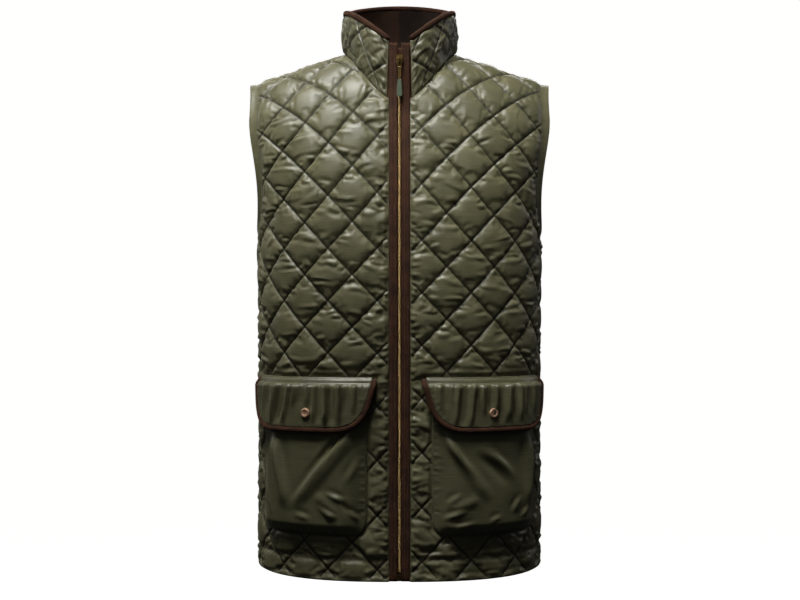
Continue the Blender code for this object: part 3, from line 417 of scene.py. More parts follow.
    def half_panel(self, face: Face, centre: float) -> dict[str, np.ndarray]:
        """Named edges of half a panel, anticlockwise from the hem's centre, where across is positive."""
        top, low = self.seam_up(face), self.neck_bottom_up(face, max(centre, 0.004))
        ups = np.linspace(0, 1, 240)
        side = [(self.row_limits(up, face)[1] - SEAM_GAP / 2, up) for up in np.linspace(self.hem_up, 0, 60)]
        armhole = [(self.row_limits(up, face)[1], up) for up in top * ups**2]
        armhole[0] = side[-1]
        neckline = [(self.row_limits(up, face)[0], up) for up in low + (top - low) * (1 - ups) ** 2]
        neckline[-1] = (centre, low)
        edges = {
            "hem": [(centre, self.hem_up), side[0]],
            "side": side,
            "armhole": armhole,
            "shoulder": [armhole[-1], neckline[0]],
            "neckline": neckline,
            "centre": [(centre, low), (centre, self.hem_up)],
        }
        return {name: np.array(points) for name, points in edges.items()}


def crossing(lengths: np.ndarray, values: np.ndarray, index: int) -> float:
    """The length at which values pass zero after a sample."""
    share = values[index] / (values[index] - values[index + 1])
    return float(lengths[index] + share * (lengths[index + 1] - lengths[index]))


@dataclass
class CollarForm:
    """The stand collar's surface; across is metres of cloth from the centre back, negative on the wearer's left."""

    figure: Figure
    half_width: float = 0.0748
    front: float = 0.095
    back: float = 0.060
    top_front: float = 0.0023
    top_side: float = 0.062
    top_back: float = 0.0825
    bulge: float = 0.0020
    bulge_start: float = 0.05
    lift: float = 0.0004
    form: Form = field(init=False)

    def __post_init__(self) -> None:
        """Measures the neck seam and the top edge, and forms the surface between them."""
        self.seam = self.neck_seam()
        self.seam_lengths = lengths_along(self.seam)
        self.half_neck = float(self.seam_lengths[-1])
        self.edge = self.top_edge()
        self.edge_lengths = lengths_along(self.edge)
        across, ups = np.linspace(0, self.half_neck, 321), np.linspace(-0.02, 0.13, 151)
        table = np.empty((len(ups), len(across), 3))
        for column, distance in enumerate(across):
            along = self.half_neck - distance
            base, top = self.ends(along)
            share = ups / np.linalg.norm(top - base)
            points = base + (top - base) * share[:, None]
            swell = self.bulge * float(ease(along / self.bulge_start)) / self.figure.neck_half_width
            points[:, :2] *= (1 + swell * np.sin(math.pi * np.clip(share, 0, 1)) ** 1.5)[:, None]
            table[:, column] = points
        self.form = Form(table, across[1], ups[0], ups[1] - ups[0], 1, mirror=-1)

    def neck_seam(self) -> np.ndarray:
        """Half of the neck seam, from the centre front over the shoulder to the centre back."""
        halves = []
        for face in Face:
            top, low = self.figure.seam_up(face), self.figure.neck_bottom_up(face, 0.0005)
            ups = low + (top - low) * np.linspace(0, 1, 160) ** 2
            flat = np.array([(self.figure.row_limits(up, face)[0], up) for up in ups])
            halves.append(self.figure.forms[face].place(flat))
        front, back = halves
        return np.concatenate([front[:1] * (0, 1, 1), front, back[::-1], back[:1] * (0, 1, 1)])

    def top_edge(self) -> np.ndarray:
        """Half of the collar's top edge, from the centre front to the centre back."""
        turn = np.linspace(0, math.pi, 161)
        across = np.sin(turn)
        in_front = turn < math.pi / 2
        y = -np.where(in_front, self.front, self.back) * np.cos(turn)
        front_height = self.top_front + (self.top_side - self.top_front) * across
        back_height = self.top_side + (self.top_back - self.top_side) * np.maximum(1 - across**2, 0) ** 0.6
        return np.stack([self.half_width * across, y, np.where(in_front, front_height, back_height)], axis=-1)

    def ends(self, along: float) -> tuple[np.ndarray, np.ndarray]:
        """The collar's lower and upper points at a distance along the neck seam from the centre front."""
        at_top = along - (self.half_neck - self.edge_lengths[-1]) * float(ease(along / self.half_neck))
        base = np.array([np.interp(along, self.seam_lengths, self.seam[:, i]) for i in range(3)])
        top = np.array([np.interp(at_top, self.edge_lengths, self.edge[:, i]) for i in range(3)])
        return base + (0, 0, self.lift), top

    def height(self, across: float) -> float:
        """The collar's height up its cloth at a distance from the centre back."""
        base, top = self.ends(self.half_neck - abs(across))
        return float(np.linalg.norm(top - base))

    def cloth_top(self, across: float, binding: float) -> float:
        """How far up the cloth ends, square to the binding that lies on it."""
        step = 0.002
        base, top = self.ends(self.half_neck - abs(across))
        rise = (top - base) / np.linalg.norm(top - base)
        near = [(across + shift, self.height(across + shift)) for shift in (-step, step)]
        here, there = self.form.place(np.array(near))
        run = (there - here) / np.linalg.norm(there - here)
        return self.height(across) - (binding + SEAM_GAP) / float(np.linalg.norm(np.cross(rise, run)))

    def front_edge(self, strip_edge: float) -> float:
        """How far from the centre back the collar's front edge lies, clear of the strip."""
        base = np.interp(strip_edge, self.seam[:100, 0], self.seam_lengths[:100])
        top = np.interp(strip_edge, self.edge[:60, 0], self.edge_lengths[:60])
        return self.half_neck - float(max(base, top)) - 2 * SEAM_GAP


# Creases and quilting


@dataclass(frozen=True)
class Crease:
    """A soft ridge between two points of flat cloth, or a trough where its rise is negative."""

    across: float
    up: float
    to_across: float
    to_up: float
    rise: float
    half_width: float
    bend: float = 0.0
    heel: float = 0.25
    toe: float = 0.45
    flank: float = 0.45


def crease_height(flat: np.ndarray, creases: Iterable[Crease]) -> np.ndarray:
    """The height that creases add at flat points, each with a shallow trough along one flank.

    Args:
        flat: The flat points.
        creases: The creases.

    Returns:
        One height for each point.
    """
    order = np.argsort(flat[:, 1])
    rows = flat[order]
    total = np.zeros(len(flat))
    for crease in creases:
        start = np.array([crease.across, crease.up])
        run = np.array([crease.to_across, crease.to_up]) - start
        length = float(np.hypot(*run))
        if length < 1e-6:
            continue
        reach = np.abs(run) / 2 + 4 * crease.half_width + abs(crease.bend)
        middle = start + run / 2
        first, last = np.searchsorted(rows[:, 1], [middle[1] - reach[1], middle[1] + reach[1]])
        near = first + np.flatnonzero(np.abs(rows[first:last, 0] - middle[0]) < reach[0])
        offsets = rows[near] - start
        along = offsets @ run / length**2
        off = (offsets[:, 1] * run[0] - offsets[:, 0] * run[1]) / length
        off = (off - crease.bend * 4 * along * (1 - along)) / crease.half_width
        window = ease(along / crease.heel) * ease((1 - along) / crease.toe)
        window *= (along > 0) & (along < 1)
        profile = np.exp(-(off**2)) - crease.flank * np.exp(-((off - 1.7) ** 2))
        total[order[near]] += crease.rise * window * profile
    return total


@dataclass
class Quilting:
    """Diamond quilting: stitch lines cross at the origin and at each whole diamond from it."""

    across: float
    up: float
    width: float = 0.064
    height: float = 0.067
    puff: float = 0.0050

    @property
    def origin(self) -> np.ndarray:
        """The crossing that the lattice is placed by."""
        return np.array([self.across, self.up])

    @property
    def size(self) -> np.ndarray:
        """A diamond's width and height."""
        return np.array([self.width, self.height])

    def points(self, outline: np.ndarray, per_side: int) -> np.ndarray:
        """Points on a grid along the stitch lines, that many to a diamond's side."""
        low, high = outline.min(axis=0), outline.max(axis=0)
        reach = (int(np.ceil(((high - low) / self.size).sum())) + 2) * per_side
        centre = np.round(((low + high) / 2 - self.origin) / self.size) * self.size + self.origin
        steps = np.arange(-reach, reach + 1)
        rising, falling = (grid.ravel() for grid in np.meshgrid(steps, steps))
        shares = np.stack([rising + falling, rising - falling], axis=-1) / (2 * per_side)
        points = shares * self.size + centre
        return points[((points > low) & (points < high)).all(axis=1)]

    def off_line(self, flat: np.ndarray) -> np.ndarray:
        """How far flat points lie off the two families of stitch lines, from 0 to 1."""
        share = (flat - self.origin) / self.size
        lines = np.stack([share.sum(axis=1), share[:, 0] - share[:, 1]], axis=-1)
        return 2 * np.abs(lines - np.round(lines))

    def relief(self, flat: np.ndarray) -> np.ndarray:
        """How far the filling lifts the cloth: nothing on a stitch line, most in a diamond's middle."""
        return self.puff * np.prod(1 - (1 - self.off_line(flat)) ** 2.3, axis=1)

    def diamonds(self, outline: np.ndarray) -> np.ndarray:
        """Middles of the diamonds inside an outline."""
        low, high = outline.min(axis=0) - self.size, outline.max(axis=0) + self.size
        first, last = np.floor((low - self.origin) / self.size * 2), np.ceil((high - self.origin) / self.size * 2)
        columns, rows = (np.arange(first[i], last[i] + 1) for i in (0, 1))
        grid = np.stack(np.meshgrid(columns, rows), axis=-1).reshape(-1, 2)
        grid = grid[(grid.sum(axis=1) % 2) != 0]
        middles = grid / 2 * self.size + self.origin
        return middles[inside(middles, outline)]

    def stitch_lines(self, keep: Callable[[np.ndarray], np.ndarray], outline: np.ndarray, step: float) -> list:
        """Runs of the stitch lines where a test holds.

        Args:
            keep: Tells which flat points have stitches.
            outline: The piece's outline.
            step: Spacing of the points along a run.

        Returns:
            The runs, each an array of flat points.
        """
        low, high = outline.min(axis=0), outline.max(axis=0)
        shares = (np.array([(low[0], low[1]), (low[0], high[1]), high, (high[0], low[1])]) - self.origin) / self.size
        runs = []
        for sign in (1, -1):
            sums = shares[:, 0] + sign * shares[:, 1]
            for line in range(math.floor(sums.min()), math.ceil(sums.max()) + 1):
                across = np.arange(low[0], high[0], step * 0.69)
                up = sign * (line - (across - self.origin[0]) / self.size[0]) * self.size[1] + self.origin[1]
                points = np.stack([across, up], axis=-1)
                points = points[(up > low[1]) & (up < high[1])]
                if len(points) > 2:
                    runs += unbroken_runs(points, keep(points))
        return runs


def unbroken_runs(points: np.ndarray, kept: np.ndarray) -> list[np.ndarray]:
    """The stretches of a line whose points are all kept."""
    breaks = np.flatnonzero(np.diff(kept.astype(int))) + 1
    stretches = zip(np.split(points, breaks), np.split(kept, breaks))
    return [stretch for stretch, held in stretches if held[0] and len(stretch) > 3]


# Finishes


NOISE, WAVE, MIX = "ShaderNodeTexNoise", "ShaderNodeTexWave", "ShaderNodeMix"
MATH, RANGE = "ShaderNodeMath", "ShaderNodeMapRange"
BUMP, XYZ = "ShaderNodeBump", "ShaderNodeCombineXYZ"
MIX_A, MIX_B, MIX_OUT = 6, 7, 2
MM_PER_M = 1000.0
WAVE_MM = math.pi / 10


def linear(hex_value: str) -> tuple[float, float, float, float]:
    """Linear colour of an sRGB hex value."""
    parts = [int(hex_value[i : i + 2], 16) / 255 for i in (0, 2, 4)]
    red, green, blue = (part / 12.92 if part <= 0.04045 else ((part + 0.055) / 1.055) ** 2.4 for part in parts)
    return red, green, blue, 1.0


def feed(tree: Any, node: Any, inputs: dict) -> None:
    """Sets a node's inputs.

    Args:
        tree: The node tree.
        node: The node.
        inputs: Values for its sockets, or sockets to link to them.
    """
    for key, value in inputs.items():
        if isinstance(value, bpy.types.NodeSocket):
            tree.links.new(value, node.inputs[key])
        else:
            node.inputs[key].default_value = value


def add_node(tree: Any, kind: str, inputs: dict | None = None, **settings: Any) -> Any:
    """Adds a node with its settings, values and links.

    Args:
        tree: The node tree.
        kind: The node's type.
        inputs: Values for its sockets, or sockets to link to them.
        settings: Attributes to set on the node.

    Returns:
        The node.
    """
    node = tree.nodes.new(kind)
    for key, value in settings.items():
        setattr(node, key, value)
    feed(tree, node, inputs or {})
    return node


@dataclass(frozen=True)
class Finish:
    """A finish: it makes its material once and gives it to each piece that has it."""

    name: str
    slot: str

    def material(self) -> bpy.types.Material:
        """The finish's material."""
        material = bpy.data.materials.get(self.name)
        if not material:
            material = bpy.data.materials.new(self.name)
            material.use_nodes = True
            self.shade(material.node_tree, material.node_tree.nodes["Principled BSDF"])
        return material

    def millimetres(self, tree: Any, place: Any = None) -> Any:
        """A socket with a place in millimetres: Object coordinates unless another place is given."""
        place = place or add_node(tree, "ShaderNodeTexCoord").outputs["Object"]
        return add_node(tree, "ShaderNodeVectorMath", {0: place, "Scale": MM_PER_M}, operation="SCALE").outputs[0]

    def shade(self, tree: Any, shader: Any) -> None:
        """Sets the shader and its pattern."""
        raise NotImplementedError


@dataclass(frozen=True)
class WovenNylon(Finish):
    """Calendered nylon satin: a smooth glossy weave whose highlights run along each fold."""

    light: str = "6B684B"
    deep: str = "57553C"
    roughness: float = 0.45
    roughness_range: float = 0.05
    # Colour painted along the quilting lines: the thread's own dark colour and painted shade in the stitched groove.
    thread: str = "1A180F"
    thread_mm: float = 0.9
    slub_mm: float = 26.0

    def shade(self, tree: Any, shader: Any) -> None:
        """Colour and gloss vary with slubs along the weft; the weave is drawn coarser than its 0.2 mm to show."""
        mm = self.millimetres(tree, add_node(tree, "ShaderNodeUVMap", uv_map=CLOTH_MAP).outputs[0])
        weft = add_node(tree, "ShaderNodeMapping", {"Vector": mm, "Scale": (1 / self.slub_mm, 0.8, 1.0)})
        slub = add_node(tree, NOISE, {"Vector": weft.outputs[0], "Scale": 1.0, "Detail": 2.0}).outputs["Fac"]
        patch = add_node(tree, NOISE, {"Vector": mm, "Scale": 0.03, "Detail": 3.0}).outputs["Fac"]
        both = add_node(tree, MATH, {0: slub, 1: patch}, operation="MULTIPLY")
        share = add_node(tree, RANGE, {"Value": both.outputs[0], "From Min": 0.14, "From Max": 0.40})
        tones = {"Factor": share.outputs[0], MIX_A: linear(self.light), MIX_B: linear(self.deep)}
        cloth = add_node(tree, MIX, tones, data_type="RGBA")
        # Darkens the cloth along the quilting lines: partly the dark thread, partly painted shade in the stitched
        # groove.
        line = add_node(tree, "ShaderNodeAttribute", attribute_name=THREAD_AND_GROOVE_SHADE)
        tones = {"Factor": line.outputs["Fac"], MIX_A: cloth.outputs[MIX_OUT], MIX_B: linear(self.thread)}
        sewn = add_node(tree, MIX, tones, data_type="RGBA")
        low, high = self.roughness - self.roughness_range, self.roughness + self.roughness_range
        gloss = add_node(tree, RANGE, {"Value": slub, "To Min": low, "To Max": high})
        pitch = {"Vector": mm, "Scale": WAVE_MM / self.thread_mm, "Distortion": 0.4}
        warp, across = (add_node(tree, WAVE, pitch, bands_direction=axis).outputs["Fac"] for axis in ("X", "Y"))
        weave = add_node(tree, MATH, {0: warp, 1: across}, operation="MULTIPLY")
        bump = add_node(tree, BUMP, {"Strength": 0.10, "Distance": 0.0001, "Height": weave.outputs[0]})
        looks = {
            "Base Color": sewn.outputs[MIX_OUT],
            "Roughness": gloss.outputs[0],
            "Normal": bump.outputs[0],
            "IOR": 1.53,
            "Specular IOR Level": 0.46,
            "Sheen Weight": 0.12,
            "Sheen Roughness": 0.35,
            "Sheen Tint": linear("B9B493"),
        }
        feed(tree, shader, looks)


@dataclass(frozen=True)
class Moleskin(Finish):
    """Brushed cotton with a short nap: matt and deep, lighter where the nap is turned."""

    light: str = "4A2E1C"
    deep: str = "2C1A10"
    nap_mm: float = 1.6
    patch_mm: float = 14.0

    def shade(self, tree: Any, shader: Any) -> None:
        """Fine nap over soft patches, with the nap's height as bump."""
        mm = self.millimetres(tree)
        nap = add_node(tree, NOISE, {"Vector": mm, "Scale": 1 / self.nap_mm, "Detail": 4.0}).outputs["Fac"]
        patch = add_node(tree, NOISE, {"Vector": mm, "Scale": 1 / self.patch_mm, "Detail": 2.0}).outputs["Fac"]
        both = add_node(tree, MATH, {0: nap, 1: patch}, operation="MULTIPLY")
        share = add_node(tree, RANGE, {"Value": both.outputs[0], "From Min": 0.12, "From Max": 0.42})
        tones = {"Factor": share.outputs[0], MIX_A: linear(self.deep), MIX_B: linear(self.light)}
        mix = add_node(tree, MIX, tones, data_type="RGBA")
        bump = add_node(tree, BUMP, {"Strength": 0.35, "Distance": 0.0004, "Height": nap})
        looks = {
            "Base Color": mix.outputs[MIX_OUT],
            "Normal": bump.outputs[0],
            "Roughness": 0.92,
            "Specular IOR Level": 0.25,
            "Sheen Weight": 0.35,
            "Sheen Roughness": 0.5,
            "Sheen Tint": linear("8A6245"),
        }
        feed(tree, shader, looks)


@dataclass(frozen=True)
class CastMetal(Finish):
    """Die-cast and tumbled metal: bright, tarnished in soft patches."""

    bright: str = "C0A060"
    tarnish: str = "6B522A"
    roughness: float = 0.32
    patch_mm: float = 1.8

    def shade(self, tree: Any, shader: Any) -> None:
        """Tarnish mixes in by patches and dulls the metal where it lies."""
        mm = self.millimetres(tree)
        patch = add_node(tree, NOISE, {"Vector": mm, "Scale": 1 / self.patch_mm, "Detail": 4.0}).outputs["Fac"]
        share = add_node(tree, RANGE, {"Value": patch, "From Min": 0.4, "From Max": 0.7}).outputs[0]
        tones = {"Factor": share, MIX_A: linear(self.bright), MIX_B: linear(self.tarnish)}
        mix = add_node(tree, MIX, tones, data_type="RGBA")
        span = {"Value": share, "To Min": self.roughness - 0.08, "To Max": self.roughness + 0.18}
        dull = add_node(tree, RANGE, span)
        feed(tree, shader, {"Base Color": mix.outputs[MIX_OUT], "Roughness": dull.outputs[0], "Metallic": 1.0})


@dataclass(frozen=True)
class MouldedRubber(Finish):
    """Moulded soft rubber: an even matt colour with a faint spark-eroded grain."""

    colour: str = "3F4F3C"
    worn: str = "58664F"
    grain_mm: float = 0.35

    def shade(self, tree: Any, shader: Any) -> None:
        """A fine grain as bump, and paler handling wear in soft patches."""
        mm = self.millimetres(tree)
        grain = add_node(tree, NOISE, {"Vector": mm, "Scale": 1 / self.grain_mm, "Detail": 2.0}).outputs["Fac"]
        wear = add_node(tree, NOISE, {"Vector": mm, "Scale": 0.2, "Detail": 3.0}).outputs["Fac"]
        tones = {"Factor": wear, MIX_A: linear(self.colour), MIX_B: linear(self.worn)}
        mix = add_node(tree, MIX, tones, data_type="RGBA")
        bump = add_node(tree, BUMP, {"Strength": 0.2, "Distance": 0.0001, "Height": grain})
        feed(tree, shader, {"Base Color": mix.outputs[MIX_OUT], "Normal": bump.outputs[0], "Roughness": 0.5})


@dataclass(frozen=True)
class SewingThread(Finish):
    """Spun polyester thread: a soft sheen on twisted plies."""

    colour: str = "3E3C2A"
    shaded: str = "26251A"
    ply_mm: float = 0.6

    def shade(self, tree: Any, shader: Any) -> None:
        """The plies' twist as bands of shade, drawn coarser than its 0.2 mm to show."""
        pitch = {"Vector": self.millimetres(tree), "Scale": WAVE_MM / self.ply_mm}
        twist = add_node(tree, WAVE, pitch, bands_direction="DIAGONAL").outputs["Fac"]
        tones = {"Factor": twist, MIX_A: linear(self.colour), MIX_B: linear(self.shaded)}
        mix = add_node(tree, MIX, tones, data_type="RGBA")
        feed(tree, shader, {"Base Color": mix.outputs[MIX_OUT], "Roughness": 0.6, "Sheen Weight": 0.2})


@dataclass(frozen=True)
class PaintedStage(Finish):
    """Plain pale studio paint that glows a little, as a lit sweep does."""

    colour: str = "F4F4F2"
    glow: float = 1.1

    def shade(self, tree: Any, shader: Any) -> None:
        """One even matt colour."""
        paint = linear(self.colour)
        looks = {"Base Color": paint, "Roughness": 0.9, "Emission Color": paint, "Emission Strength": self.glow}
        feed(tree, shader, looks)


NYLON = WovenNylon("woven_nylon_satin", "olive_nylon")
PLAIN_NYLON = WovenNylon("plain_nylon_satin", "olive_nylon", light="5E5D43", deep="4C4B35", roughness=0.38)
MOLESKIN = Moleskin("brushed_cotton_moleskin", "brown_suede")
# The facings are darker copies of the moleskin: painted shade inside the collar. The turned half is painted lighter
# than the other, a painted sheen on its turned nap.
PAINTED_SHADE_FACING = Moleskin("facing_painted_shade", "brown_suede", light="22150D", deep="140C07")
PAINTED_SHADE_SHEEN_FACING = Moleskin("facing_painted_shade_and_sheen", "brown_suede", light="3E2819", deep="26180E")
BRASS = CastMetal("antique_brass_casting", "antique_brass", bright="8E7547", tarnish="48371C")
TOOTH_BRASS = CastMetal("drawn_brass_teeth", "antique_brass", bright="D0B078", tarnish="8A6F42", roughness=0.5)
COPPER = CastMetal("copper_plated_cap", "copper_cap", bright="F0C8A8", tarnish="C09A7C", roughness=0.62)
RUBBER = MouldedRubber("moulded_green_rubber", "green_rubber")
OLIVE_THREAD = SewingThread("olive_polyester_thread", "olive_nylon", colour="201F16", shaded="12110B")
BROWN_THREAD = SewingThread("brown_polyester_thread", "brown_suede", colour="4A2F1E", shaded="2A190F")
STAGE_PAINT = PaintedStage("studio_paint", "")


# Meshes


@dataclass
class Shell:
    """A cloth piece's points, its faces and the flat place of each point."""

    points: np.ndarray
    faces: list
    flat: np.ndarray

    def tree(self) -> BVHTree:
        """A search tree over the shell's faces."""
        return BVHTree.FromPolygons(self.points.tolist(), [list(face) for face in self.faces])


def new_object(name: str, shell: Shell) -> bpy.types.Object:
    """An object at the origin from a shell, with its flat places as a map in metres of cloth."""
    mesh = bpy.data.meshes.new(name)
    mesh.from_pydata(shell.points.tolist(), [], [tuple(int(i) for i in face) for face in shell.faces])
    corners = np.empty(len(mesh.loops), dtype=np.int32)
    mesh.loops.foreach_get("vertex_index", corners)
    layer = mesh.uv_layers.new(name=CLOTH_MAP)
    layer.data.foreach_set("uv", np.asarray(shell.flat, dtype=np.float32)[corners].ravel())
    mesh.shade_smooth()
    obj = bpy.data.objects.new(name, mesh)
    bpy.context.scene.collection.objects.link(obj)
    return obj


def drop_object(obj: bpy.types.Object) -> None:
    """Removes a helper object with its mesh."""
    mesh = obj.data
    bpy.data.objects.remove(obj, do_unlink=True)
    bpy.data.meshes.remove(mesh)


def evaluated_points(obj: bpy.types.Object) -> np.ndarray:
    """The points of an object with its modifiers."""
    mesh = obj.evaluated_get(bpy.context.evaluated_depsgraph_get()).to_mesh()
    points = np.empty(len(mesh.vertices) * 3, dtype=np.float32)
    mesh.vertices.foreach_get("co", points)
    return points.reshape(-1, 3).astype(float)


def summed(values: np.ndarray, places: np.ndarray, count: int) -> np.ndarray:
    """Sums of rows of values by place."""
    columns = [np.bincount(places, weights=values[:, i], minlength=count) for i in range(values.shape[1])]
    return np.stack(columns, axis=-1)


def subdivided(shell: Shell) -> Shell:
    """An open shell with each face divided in four-sided ones and smoothed as a subdivision surface.

    Args:
        shell: The open shell.

    Returns:
        The finer shell.
    """
    sides = np.array([len(face) for face in shell.faces])
    corner = np.concatenate([np.array(face) for face in shell.faces])
    face = np.repeat(np.arange(len(sides)), sides)
    first = np.concatenate([[0], np.cumsum(sides)[:-1]])[face]
    step = np.arange(len(corner)) - first
    onward = corner[first + (step + 1) % sides[face]]
    back = first + (step - 1) % sides[face]
    points, flat, count = shell.points, shell.flat, len(shell.points)
    keys = np.minimum(corner, onward).astype(np.int64) * count + np.maximum(corner, onward)
    edges, edge = np.unique(keys, return_inverse=True)
    low, high = edges // count, edges % count
    face_points = summed(points[corner], face, len(sides)) / sides[:, None]
    face_flat = summed(flat[corner], face, len(sides)) / sides[:, None]
    uses = np.bincount(edge, minlength=len(edges))
    beside = summed(face_points[face], edge, len(edges))
    middles = (points[low] + points[high]) / 2
    edge_points = np.where((uses == 2)[:, None], (2 * middles + beside) / 4, middles)
    degree = np.bincount(corner, minlength=count)[:, None]
    around = summed(face_points[face], corner, count) / degree
    both = np.concatenate([low, high])
    spokes = np.bincount(both, minlength=count)[:, None]
    spoke = summed(np.concatenate([middles, middles]), both, count) / spokes
    moved = (around + 2 * spoke + (degree - 3) * points) / degree
    rim = uses == 1
    rim_ends = np.concatenate([low[rim], high[rim]])
    rim_middles = summed(np.concatenate([middles[rim], middles[rim]]), rim_ends, count)
    on_rim = np.zeros(count, dtype=bool)
    on_rim[rim_ends] = True
    moved = np.where(on_rim[:, None], points / 2 + rim_middles / 4, moved)
    edge_at, face_at = count + edge, count + len(edges) + face
    faces = np.stack([corner, edge_at, face_at, edge_at[back]], axis=-1)
    flat_middles = (flat[low] + flat[high]) / 2
    return Shell(
        np.concatenate([moved, edge_points, face_points]),
        list(map(tuple, faces.tolist())),
        np.concatenate([flat, flat_middles, face_flat]),
    )


def point_normals(shell: Shell) -> np.ndarray:
    """Unit normals at a shell's points."""
    obj = new_object("normals", shell)
    normals = np.empty(len(shell.points) * 3, dtype=np.float32)
    obj.data.vertex_normals.foreach_get("vector", normals)
    drop_object(obj)
    return normals.reshape(-1, 3).astype(float)


def border(shell: Shell) -> list[int]:
    """Indices round an open shell's border, in its faces' direction."""
    following = {}
    for face in shell.faces:
        for i, corner in enumerate(face):
            following[(corner, face[(i + 1) % len(face)])] = True
    onward = {a: b for a, b in following if (b, a) not in following}
    start = next(iter(onward))
    loop, at = [start], onward[start]
    while at != start:
        loop.append(at)
        at = onward[at]
    return loop


def closed_wall(
    outer: Shell,
    form: Form,
    inner_height: Callable[[np.ndarray], np.ndarray],
    inner_step: float,
    roll: Callable[[np.ndarray], np.ndarray],
) -> Shell:
    """A closed cloth wall from its outer side.

    Args:
        outer: The open outer side.
        form: What the cloth is formed on.
        inner_height: Height of the inner side at flat points.
        inner_step: Spacing of the inner side's points.
        roll: How far the edge rolls out past its cut line at flat points of the rim.

    Returns:
        The closed shell.
    """
    loop = border(outer)
    rim = outer.flat[loop]
    turned = form.outward < 0
    outline = rim[::-1] if turned else rim
    fill = kept_inside(staggered_points(outline, inner_step), outline, 0.4 * inner_step)
    flat, faces, places = cut_flat(outline, fill)
    inner_points = form.at(flat, inner_height(flat))
    places = places[::-1] if turned else places
    runs = unit(np.roll(rim, -1, axis=0) - np.roll(rim, 1, axis=0))
    outward = np.stack([runs[:, 1], -runs[:, 0]], axis=-1) * (-1 if turned else 1)
    middle_flat = rim + outward * roll(rim)[:, None]
    shift = form.place(middle_flat) - form.place(rim)
    middle = (outer.points[loop] + inner_points[places]) / 2 + shift
    count = len(outer.points)
    first_inner = count + len(loop)
    joined = list(outer.faces)
    for i in range(len(loop)):
        j = (i + 1) % len(loop)
        joined.append((loop[j], loop[i], count + i, count + j))
        joined.append((count + j, count + i, first_inner + places[i], first_inner + places[j]))
    for face in faces:
        corners = tuple(first_inner + i for i in face)
        joined.append(corners if turned else corners[::-1])
    points = np.concatenate([outer.points, middle, inner_points])
    return Shell(points, joined, np.concatenate([outer.flat, middle_flat, flat]))


def dressed(name: str, shell: Shell, finish: Finish, nodes: Sequence[str]) -> bpy.types.Object:
    """A finished piece that rides on the garment and stands for CAD nodes.

    Args:
        name: The piece's name.
        shell: Its closed shell.
        finish: Its finish.
        nodes: The nodes that it replaces.

    Returns:
        The piece.
    """
    return registered(new_object(name, shell), finish, nodes)


def registered(obj: bpy.types.Object, finish: Finish, nodes: Sequence[str]) -> bpy.types.Object:
    """Gives a made object its finish, its body and the nodes that it stands for."""
    obj.data.materials.clear()
    obj.data.materials.append(finish.material())
    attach(obj, BODY)
    if nodes:
        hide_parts(*nodes)
    LOG.info("%s: %d faces", obj.name, len(obj.data.polygons))
    return obj


@dataclass(frozen=True)
class Padding:
    """Filling under quilted cloth: how it swells between its stitch lines."""

    slack: float = 0.055
    pressure: float = 45.0
    mass: float = 0.15
    stiffness: float = 12.0
    bending: float = 0.12
    frames: int = 18
    damping: float = 5.0
    air: float = 1.0

    def swell(self, shell: Shell, sewn: np.ndarray) -> np.ndarray:
        """Swells a shell by cloth simulation, held at its sewn points, with spare cloth between them.

        Args:
            shell: The open shell, on its form.
            sewn: Which points are held.

        Returns:
            The swollen points.
        """
        obj = new_object("padding", shell)
        obj.vertex_groups.new(name="sewn").add(np.flatnonzero(sewn).tolist(), 1.0, "REPLACE")
        cloth = obj.modifiers.new("cloth", "CLOTH")
        settings = cloth.settings
        settings.quality = 5
        settings.mass = self.mass
        settings.tension_stiffness = self.stiffness
        settings.compression_stiffness = self.stiffness
        settings.shear_stiffness = 0.4 * self.stiffness
        settings.bending_stiffness = self.bending
        settings.tension_damping = self.damping
        settings.compression_damping = self.damping
        settings.shear_damping = self.damping
        settings.bending_damping = 0.1 * self.damping
        settings.air_damping = self.air
        settings.vertex_group_mass = "sewn"
        settings.shrink_min = -self.slack
        settings.use_pressure = True
        settings.uniform_pressure_force = self.pressure
        settings.effector_weights.gravity = 0.0
        cloth.collision_settings.use_collision = False
        cloth.point_cache.frame_start = 1
        cloth.point_cache.frame_end = self.frames
        for frame in range(1, self.frames + 1):
            bpy.context.scene.frame_set(frame)
        points = evaluated_points(obj)
        bpy.context.scene.frame_set(1)
        drop_object(obj)
        return points


# Stitches and other repeats


def sized_tree(name: str, sizes: Sequence[str]) -> tuple[Any, Any, dict[str, str]]:
    """A node tree for a modifier, with named sizes and a material as inputs.

    Args:
        name: The tree's name.
        sizes: Names of its number inputs.

    Returns:
        The tree, its input sockets by name and each input's identifier.
    """
    tree = bpy.data.node_groups.new(name, "GeometryNodeTree")
    kinds = {"Geometry": "Geometry", **{size: "Float" for size in sizes}, "Finish": "Material"}
    names = {
        key: tree.interface.new_socket(key, in_out="INPUT", socket_type=f"NodeSocket{kind}").identifier
        for key, kind in kinds.items()
    }
    tree.interface.new_socket("Geometry", in_out="OUTPUT", socket_type="NodeSocketGeometry")
    return tree, tree.nodes.new("NodeGroupInput").outputs, names


def end_tree(tree: Any, start: Any, instances: Any) -> None:
    """Ends a tree: instances made real, shaded smooth and given the finish."""
    real = add_node(tree, "GeometryNodeRealizeInstances", {0: instances})
    smooth = add_node(tree, "GeometryNodeSetShadeSmooth", {0: real.outputs[0]})
    finish = {"Geometry": smooth.outputs[0], "Material": start["Finish"]}
    finished = add_node(tree, "GeometryNodeSetMaterial", finish)
    add_node(tree, "NodeGroupOutput", {0: finished.outputs[0]})


